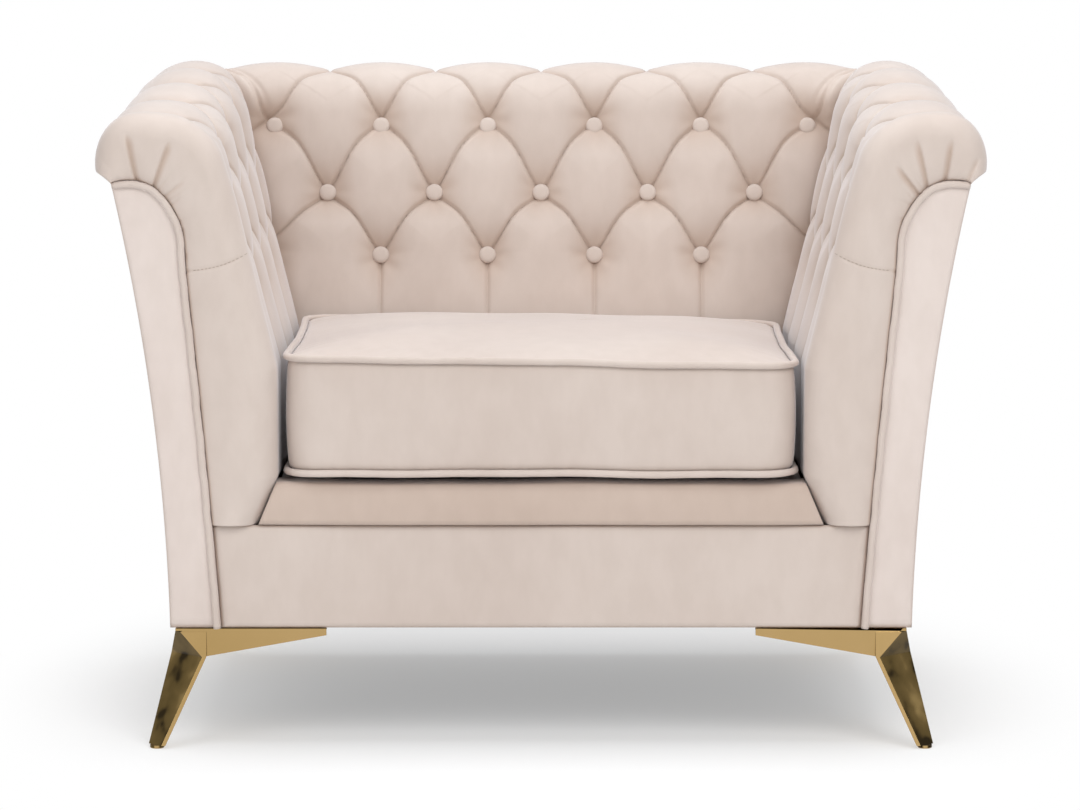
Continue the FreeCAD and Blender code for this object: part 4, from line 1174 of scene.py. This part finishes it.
def leg(side, end, name):
    """A corner leg: the foot joined with two tapered wings and the top plate."""
    piece = leg_foot(f"{name}_shape")
    near = LEG_CROTCH_REACH - LEG_BEVEL
    wing = [(LEG_BEVEL, LEG_TOP), (LEG_WING, LEG_TOP), (LEG_WING, LEG_TOP - LEG_TIP),
            (LEG_CROTCH_REACH, LEG_CROTCH), (near, LEG_CROTCH)]
    low = LEG_TOP - PLATE
    plate = [(0, 0), (LEG_WING, 0), (LEG_WING, PLATE_STRIP), (PLATE_STRIP, LEG_WING),
             (0, LEG_WING)]
    parts = [
        prism("front_wing", [(u, 0, z) for u, z in wing], (0, LEG_SHEET, 0)),
        prism("side_wing", [(0, u, z) for u, z in wing], (LEG_SHEET, 0, 0)),
        prism("plate", [(u, w, low) for u, w in plate], (0, 0, PLATE)),
    ]
    for part in parts:
        joint = piece.modifiers.new("join", "BOOLEAN")
        joint.operation = "UNION"
        joint.solver = "EXACT"
        joint.object = part
        applied(piece, joint)
        bpy.data.objects.remove(part)
    for vertex in piece.data.vertices:
        u, w, z = vertex.co
        y = LEG_FRONT_Y + w if end < 0 else LEG_REAR_Y - w
        vertex.co = (side * (LEG_X - u), y, z)
    turned_grid(piece)
    edge = piece.modifiers.new("edge", "BEVEL")
    edge.width = EDGE_ROUND
    edge.segments = 2
    edge.limit_method = "ANGLE"
    applied(piece, edge)
    piece.data.polygons.foreach_set("use_smooth", [False] * len(piece.data.polygons))
    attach(piece, CHAIR)
    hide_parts(name)
    dress(piece, GOLD)


# Stitches across each arm front

STITCH_STEP = 0.0048
STITCH_LENGTH = 0.0031
STITCH_THICK = 0.00045
STITCH_START = 0.004
STITCH_PROUD = 0.0002
THREAD_SIDES = 6
THREAD_RINGS = ((0.0, 0.3), (0.2, 1.0), (0.8, 1.0), (1.0, 0.3))


def stitch_ends(side, padded):
    """Where each stitch goes in and comes out on the padded arm front."""
    tree = BVHTree.FromObject(padded, bpy.context.evaluated_depsgraph_get())
    places = []
    for index in range(int((STITCH_LOW[0] - STITCH_HIGH[0]) / STITCH_STEP)):
        ends = []
        for along in (0.0, STITCH_LENGTH):
            reach = STITCH_LOW[0] - STITCH_START - index * STITCH_STEP - along
            start = Vector((side * reach, FRONT - 0.1, float(stitch_height(reach))))
            ends.append(tree.ray_cast(start, Vector((0, 1, 0)))[0])
        if all(end is not None for end in ends):
            places.append(ends)
    return places


def stitches(side, name, padded):
    """Short thread stitches that lie in the seam across the arm front."""
    vertices = []
    faces = []
    for start, end in stitch_ends(side, padded):
        heading = (end - start).normalized()
        across = heading.cross(Vector((0, 1, 0))).normalized()
        deep = across.cross(heading)
        first = len(vertices)
        for share, thick in THREAD_RINGS:
            centre = start.lerp(end, share) - Vector((0, STITCH_PROUD, 0))
            for turn in range(THREAD_SIDES):
                angle = 2 * math.pi * turn / THREAD_SIDES
                ring = across * math.cos(angle) + deep * math.sin(angle)
                vertices.append(centre + ring * STITCH_THICK * thick)
        faces.extend(tuple(first + k for k in face) for face in grid_faces(
            len(THREAD_RINGS), THREAD_SIDES, closed_columns=True))
    piece = solid_object(name, vertices, faces)
    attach(piece, CHAIR)
    dress(piece, THREAD)


# Camera, light and floor

CAMERA_DISTANCE = 5.3
CAMERA_HEIGHT = 1.05
FOCAL_PIXELS = 4317
IMAGE_WIDTH = 1080
IMAGE_HEIGHT = 810
CHAIR_COLUMN = 541
HORIZON_ROW = -103
SENSOR = 36.0
WORLD_LIGHT = 0.48


def camera():
    lens = bpy.data.cameras.new("camera")
    lens.sensor_width = SENSOR
    lens.lens = FOCAL_PIXELS / IMAGE_WIDTH * SENSOR
    view = bpy.data.objects.new("camera", lens)
    bpy.context.scene.collection.objects.link(view)
    pitch = math.atan((IMAGE_HEIGHT / 2 - HORIZON_ROW) / FOCAL_PIXELS)
    view.location = (0.0, FACING_FRONT - CAMERA_DISTANCE, CAMERA_HEIGHT)
    view.rotation_euler = (math.pi / 2 - pitch, 0.0, 0.0)
    lens.shift_x = (IMAGE_WIDTH / 2 - CHAIR_COLUMN) / IMAGE_WIDTH
    bpy.context.scene.camera = view


def area_light(name, place, size, power, colour=(1, 1, 1)):
    lamp = bpy.data.lights.new(name, "AREA")
    lamp.shape = "DISK"
    lamp.size = size
    lamp.energy = power
    lamp.color = colour
    light = bpy.data.objects.new(name, lamp)
    light.location = place
    towards = Vector((0, 0, 0.4)) - Vector(place)
    light.rotation_euler = towards.to_track_quat("-Z", "Y").to_euler()
    bpy.context.scene.collection.objects.link(light)


def feed(tree, piece, feeds):
    """Gives inputs of a node, by name or number, a link or a value of their own."""
    for name, value in feeds.items():
        if hasattr(value, "is_output"):
            tree.links.new(value, piece.inputs[name])
        else:
            piece.inputs[name].default_value = value


def new_node(tree, kind, feeds, **settings):
    """A new node with its settings and with what its inputs are fed."""
    piece = tree.nodes.new(kind)
    for name, value in settings.items():
        setattr(piece, name, value)
    feed(tree, piece, feeds)
    return piece


def calculated(tree, operation, *sources):
    return new_node(tree, "ShaderNodeMath", dict(enumerate(sources)), operation=operation).outputs[0]


def seen_directly(tree, kinds):
    """1 for the rays that show the white background, 0 for the rays that light the chair."""
    rays = new_node(tree, "ShaderNodeLightPath", {})
    last = rays.outputs[kinds[0]]
    for kind in kinds[1:]:
        last = calculated(tree, "MAXIMUM", last, rays.outputs[kind])
    return last


def either(tree, share, first, second):
    """Shows the second shader by the share, else the first."""
    feeds = {0: share, 1: first.outputs[0], 2: second.outputs[0]}
    return new_node(tree, "ShaderNodeMixShader", feeds).outputs[0]


def lights():
    area_light("key", (1.5, -3.1, 2.9), size=2.4, power=62)
    area_light("fill", (-2.2, -2.8, 2.2), size=2.6, power=30)
    area_light("top", (0.0, 0.2, 3.2), size=2.6, power=58, colour=(0.90, 0.95, 1.0))
    world = bpy.data.worlds.new("world")
    bpy.context.scene.world = world
    world.use_nodes = True
    tree = world.node_tree
    tree.nodes.clear()
    plain = new_node(tree, "ShaderNodeBackground", {"Color": rgba(1), "Strength": WORLD_LIGHT})
    white = new_node(tree, "ShaderNodeBackground", {"Color": rgba(1)})
    seen = seen_directly(tree, ["Is Camera Ray", "Is Glossy Ray", "Is Transmission Ray"])
    new_node(tree, "ShaderNodeOutputWorld", {"Surface": either(tree, seen, plain, white)})


FLOOR_SIZE = 14.0
FLOOR_NEAR = 0.55
FLOOR_FAR = 1.02
FLOOR_OVAL = (1.32, 0.92, 1.0)
FLOOR_GLOW = 0.36
FLOOR_GREY = 0.92


def floor():
    """A pale floor that keeps the chair's shadow and turns plain white further out."""
    corners = [(-1, -1), (1, -1), (1, 1), (-1, 1)]
    piece = mesh_object("floor", [(FLOOR_SIZE * x, FLOOR_SIZE * y, 0) for x, y in corners],
                        [(0, 1, 2, 3)])
    material, tree, shader = new_material("floor")
    feed(tree, shader, {
        "Base Color": rgba(FLOOR_GREY), "Roughness": 0.9, "Specular IOR Level": 0.1})
    glow = new_node(tree, "ShaderNodeEmission", {"Color": rgba(1)})
    oval = laid_out(tree, FLOOR_OVAL)
    length = new_node(tree, "ShaderNodeVectorMath", {0: oval}, operation="LENGTH")
    away = new_node(tree, "ShaderNodeMapRange", {
        "Value": length.outputs["Value"], "From Min": FLOOR_NEAR, "From Max": FLOOR_FAR,
        "To Min": FLOOR_GLOW}, interpolation_type="SMOOTHSTEP")
    seen = seen_directly(tree, ["Is Camera Ray", "Is Glossy Ray"])
    share = calculated(tree, "MULTIPLY", away.outputs["Result"], seen)
    tree.links.new(either(tree, share, shader, glow),
                   tree.nodes["Material Output"].inputs["Surface"])
    dress(piece, material)


# Materials

VELVET_DARK = (0.585, 0.492, 0.438)
VELVET_LIGHT = (0.640, 0.552, 0.498)
# Painted light: a lighter tone for the facings' copy of the velvet
FACING_PAINTED_LIGHT = (1.13, 1.15, 1.18)
STEEL_SHADE = 0.85


def rgba(colour):
    """A full colour from a grey number or from red, green and blue."""
    return (*colour, 1) if isinstance(colour, tuple) else (colour, colour, colour, 1)


def toned(colour, tone):
    return tuple(part * share for part, share in zip(colour, tone))


def new_material(name):
    material = bpy.data.materials.new(name)
    material.use_nodes = True
    return material, material.node_tree, material.node_tree.nodes["Principled BSDF"]


def laid_out(tree, stretch):
    """The object's own coordinates, stretched."""
    place = new_node(tree, "ShaderNodeTexCoord", {}).outputs["Object"]
    mapping = new_node(tree, "ShaderNodeMapping", {"Vector": place, "Scale": stretch})
    return mapping.outputs["Vector"]


def noise(tree, scale, detail=3.0, stretch=(1, 1, 1)):
    feeds = {"Vector": laid_out(tree, stretch), "Scale": scale, "Detail": detail}
    return new_node(tree, "ShaderNodeTexNoise", feeds).outputs["Fac"]


def waves(tree, scale, stretch, distortion):
    feeds = {"Vector": laid_out(tree, stretch), "Scale": scale, "Distortion": distortion,
             "Detail": 2.0}
    return new_node(tree, "ShaderNodeTexWave", feeds).outputs["Fac"]


def ramp(tree, source, *stops):
    """A colour ramp through stops of a position and a grey or a colour."""
    piece = new_node(tree, "ShaderNodeValToRGB", {"Fac": source})
    elements = piece.color_ramp.elements
    first, *middle, last = [(position, rgba(colour)) for position, colour in stops]
    elements[0].position, elements[0].color = first
    elements[1].position, elements[1].color = last
    for position, colour in middle:
        elements.new(position).color = colour
    return piece.outputs["Color"]


def spread(tree, source, low, high):
    """A ramp between two greys or colours over the middle of a texture's range."""
    return ramp(tree, source, (0.3, low), (0.7, high))


def mix(tree, share, first, second, kind="MIX"):
    piece = new_node(tree, "ShaderNodeMix", {}, data_type="RGBA", blend_type=kind)
    feed(tree, piece, {"Factor": share, 6: first, 7: second})
    return piece.outputs[2]


def bump(tree, shader, *layers):
    """Stacks bump layers, each a height source with its strength and distance."""
    feeds = {}
    for source, strength, distance in layers:
        feeds.update({"Height": source, "Strength": strength, "Distance": distance})
        feeds["Normal"] = new_node(tree, "ShaderNodeBump", feeds).outputs["Normal"]
    feed(tree, shader, {"Normal": feeds["Normal"]})


def velvet(name, tone):
    """Cream velvet: short pile, cloudy nap, with painted shade that makes it darker and warmer in
    the hollows.
    """
    material, tree, shader = new_material(name)
    cloud = noise(tree, 4.0, 3.0, (1.0, 1.0, 0.7))
    nap = noise(tree, 45.0, 5.0, (1.0, 1.0, 0.5))
    pile = noise(tree, 1500.0, 2.0)
    # The tone scales the colours; above 1 it gives a lighter copy of the velvet as painted light
    base = spread(tree, cloud, toned(VELVET_DARK, tone), toned(VELVET_LIGHT, tone))
    brushed = ramp(tree, nap, (0.35, (0.93, 0.92, 0.91)), (0.65, 1.0))
    colour = mix(tree, 0.6, base, brushed, "MULTIPLY")
    # Painted shade: the hollow attribute darkens and warms the colour in hollows, creases, beside
    # seams and under the cushion
    deep = new_node(tree, "ShaderNodeAttribute", {}, attribute_name="hollow").outputs["Fac"]
    shade = ramp(tree, deep, (0.20, 1.0), (0.60, (0.90, 0.85, 0.81)), (1.0, (0.76, 0.68, 0.62)))
    feed(tree, shader, {
        "Base Color": mix(tree, 1.0, colour, shade, "MULTIPLY"),
        "Roughness": spread(tree, nap, 0.74, 0.90),
        "Sheen Weight": 0.55,
        "Sheen Roughness": 0.35,
        "Sheen Tint": (0.94, 0.95, 1.0, 1),
        "Specular IOR Level": 0.2,
    })
    bump(tree, shader, (nap, 0.10, 0.0012), (pile, 0.22, 0.0004))
    return material


def thread():
    material, tree, shader = new_material("thread")
    twist = noise(tree, 900.0, 2.0)
    colour = spread(tree, twist, (0.36, 0.29, 0.24), (0.46, 0.38, 0.32))
    feed(tree, shader, {"Base Color": colour, "Roughness": 0.8})
    bump(tree, shader, (twist, 0.3, 0.0002))
    return material


def gold():
    """Polished gold: clear on the flat wings, with a painted dark, streaky reflection on the
    diagonal facet.
    """
    material, tree, shader = new_material("polished_gold")
    cloud = noise(tree, 9.0, 4.0, (1.0, 1.0, 0.5))
    clear = spread(tree, cloud, (0.455, 0.305, 0.125), (0.50, 0.340, 0.150))
    swirl = noise(tree, 26.0, 2.5, (1.0, 1.0, 0.8))
    # Painted dark, streaky reflection for the diagonal facet
    painted_dark_reflection = ramp(tree, swirl, (0.36, (0.022, 0.014, 0.004)), (0.44, (0.090, 0.060, 0.019)),
                 (0.60, (0.130, 0.087, 0.030)), (0.72, (0.24, 0.165, 0.064)))
    # The diagonal facet, found from its normal, gets the painted reflection
    surface = new_node(tree, "ShaderNodeNewGeometry", {}).outputs["True Normal"]
    parts = new_node(tree, "ShaderNodeSeparateXYZ", {0: surface})
    product = calculated(tree, "MULTIPLY", parts.outputs["X"], parts.outputs["Y"])
    diagonal = ramp(tree, calculated(tree, "ABSOLUTE", product), (0.25, 0.0), (0.35, 1.0))
    feed(tree, shader, {
        "Base Color": mix(tree, diagonal, clear, painted_dark_reflection),
        "Metallic": 1.0,
        "Roughness": spread(tree, cloud, 0.16, 0.24),
    })
    bump(tree, shader, (noise(tree, 260.0, 2.0, (1.0, 1.0, 8.0)), 0.02, 0.0003))
    return material


def wood():
    material, tree, shader = new_material("frame_wood")
    grain = waves(tree, 6.0, (1.0, 1.0, 8.0), 5.0)
    fibre = noise(tree, 180.0, 4.0, (0.1, 1.0, 1.0))
    base = ramp(tree, grain, (0.2, (0.46, 0.30, 0.16)), (0.8, (0.62, 0.44, 0.26)))
    dark = spread(tree, fibre, 0.82, 1.0)
    feed(tree, shader, {
        "Base Color": mix(tree, 0.7, base, dark, "MULTIPLY"),
        "Roughness": spread(tree, fibre, 0.55, 0.72),
    })
    bump(tree, shader, (fibre, 0.25, 0.0006), (grain, 0.1, 0.0008))
    return material


def woven(name, dark, light, threads):
    """A plain weave of crossing threads, for linings, dust cover and zip tape."""
    material, tree, shader = new_material(name)
    warp = waves(tree, threads, (1.0, 0.0, 0.0), 0.3)
    weft = waves(tree, threads, (0.0, 0.6, 0.8), 0.3)
    crossing = mix(tree, 0.5, warp, weft)
    faded = spread(tree, noise(tree, 12.0, 3.0), 0.88, 1.0)
    feed(tree, shader, {
        "Base Color": mix(tree, 0.8, spread(tree, crossing, dark, light), faded, "MULTIPLY"),
        "Roughness": spread(tree, crossing, 0.85, 0.95),
    })
    bump(tree, shader, (crossing, 0.3, 0.0004))
    return material


def steel(name, tone):
    material, tree, shader = new_material(name)
    drawn = noise(tree, 320.0, 2.0, (0.2, 1.0, 1.0))
    feed(tree, shader, {
        "Base Color": spread(tree, drawn, toned(tone, (STEEL_SHADE,) * 3), tone),
        "Metallic": 1.0,
        "Roughness": spread(tree, drawn, 0.28, 0.40),
    })
    bump(tree, shader, (drawn, 0.08, 0.0002))
    return material


# Everything together

VELVET = velvet("velvet", (1.0, 1.0, 1.0))
# A lighter copy of the velvet for the arm facings, as painted light
PAINTED_LIT_VELVET = velvet("painted_lit_velvet", FACING_PAINTED_LIGHT)
THREAD = thread()
GOLD = gold()
camera()
lights()
floor()

for arm_side, arm_name in ((1, "right"), (-1, "left")):
    arm = arm_pad(arm_side, arm_name)
    stitches(arm_side, f"{arm_name}_arm_stitches", arm)
    panel(f"{arm_name}_outside", outside_arm(arm_side), f"{arm_name}_outside_cover",
          thick=0.0075, puff=0.003, rounding=0.004, counts=(60, 70))
    # The facings take the lighter copy of the velvet, painted light
    panel(f"{arm_name}_facing", facing(arm_side), f"{arm_name}_facing_cover",
          thick=0.0095, puff=0.0022, rounding=0.005, counts=(90, 26),
          cloth=PAINTED_LIT_VELVET)
    facing_welt(arm_side, f"{arm_name}_facing_welt", f"{arm_name}_facing_piping")
    buttons(f"{arm_name}_arm_tufts", f"{arm_name}_arm_buttons",
            button_places(ARM_ROWS, CORNER_SHIFT, arm_side))
back_pad()
buttons("back_tufts", "back_buttons", button_places(BACK_ROWS, 0.0, 0))
panel("outside_back", outside_back, "outside_back_cover",
      thick=0.0075, puff=0.003, rounding=0.004, counts=(60, 120))
panel("front_cover", front_panel_surface, "front_panel",
      thick=0.0045, puff=0.0018, rounding=0.003, counts=(36, 160))
panel("deck", deck_surface, "deck_pad",
      thick=0.060, puff=0.0030, rounding=0.006, counts=(60, 60))
border()
cushion()
for leg_side, leg_name in ((1, "right"), (-1, "left")):
    leg(leg_side, -1, f"front_{leg_name}_leg")
    leg(leg_side, 1, f"rear_{leg_name}_leg")

carried = {
    "gold_metal": GOLD,
    "frame_wood": wood(),
    "lining_cloth": woven("lining_cloth", (0.55, 0.50, 0.44), (0.72, 0.67, 0.60), 420.0),
    "foam_cloth": woven("foam_cloth", (0.70, 0.68, 0.62), (0.82, 0.80, 0.74), 300.0),
    "dust_cloth": woven("dust_cloth", (0.020, 0.020, 0.021), (0.050, 0.050, 0.052), 380.0),
    "zip_tape": woven("zip_tape", (0.52, 0.44, 0.39), (0.66, 0.57, 0.51), 700.0),
    "steel": steel("steel", (0.62, 0.63, 0.64)),
    "velvet": VELVET,
}
for subpart in frame["record"]["subparts"]:
    dress(frame["nodes"][subpart["node"]], carried[subpart["material_slot"]])

bpy.context.scene.view_settings.view_transform = "Standard"
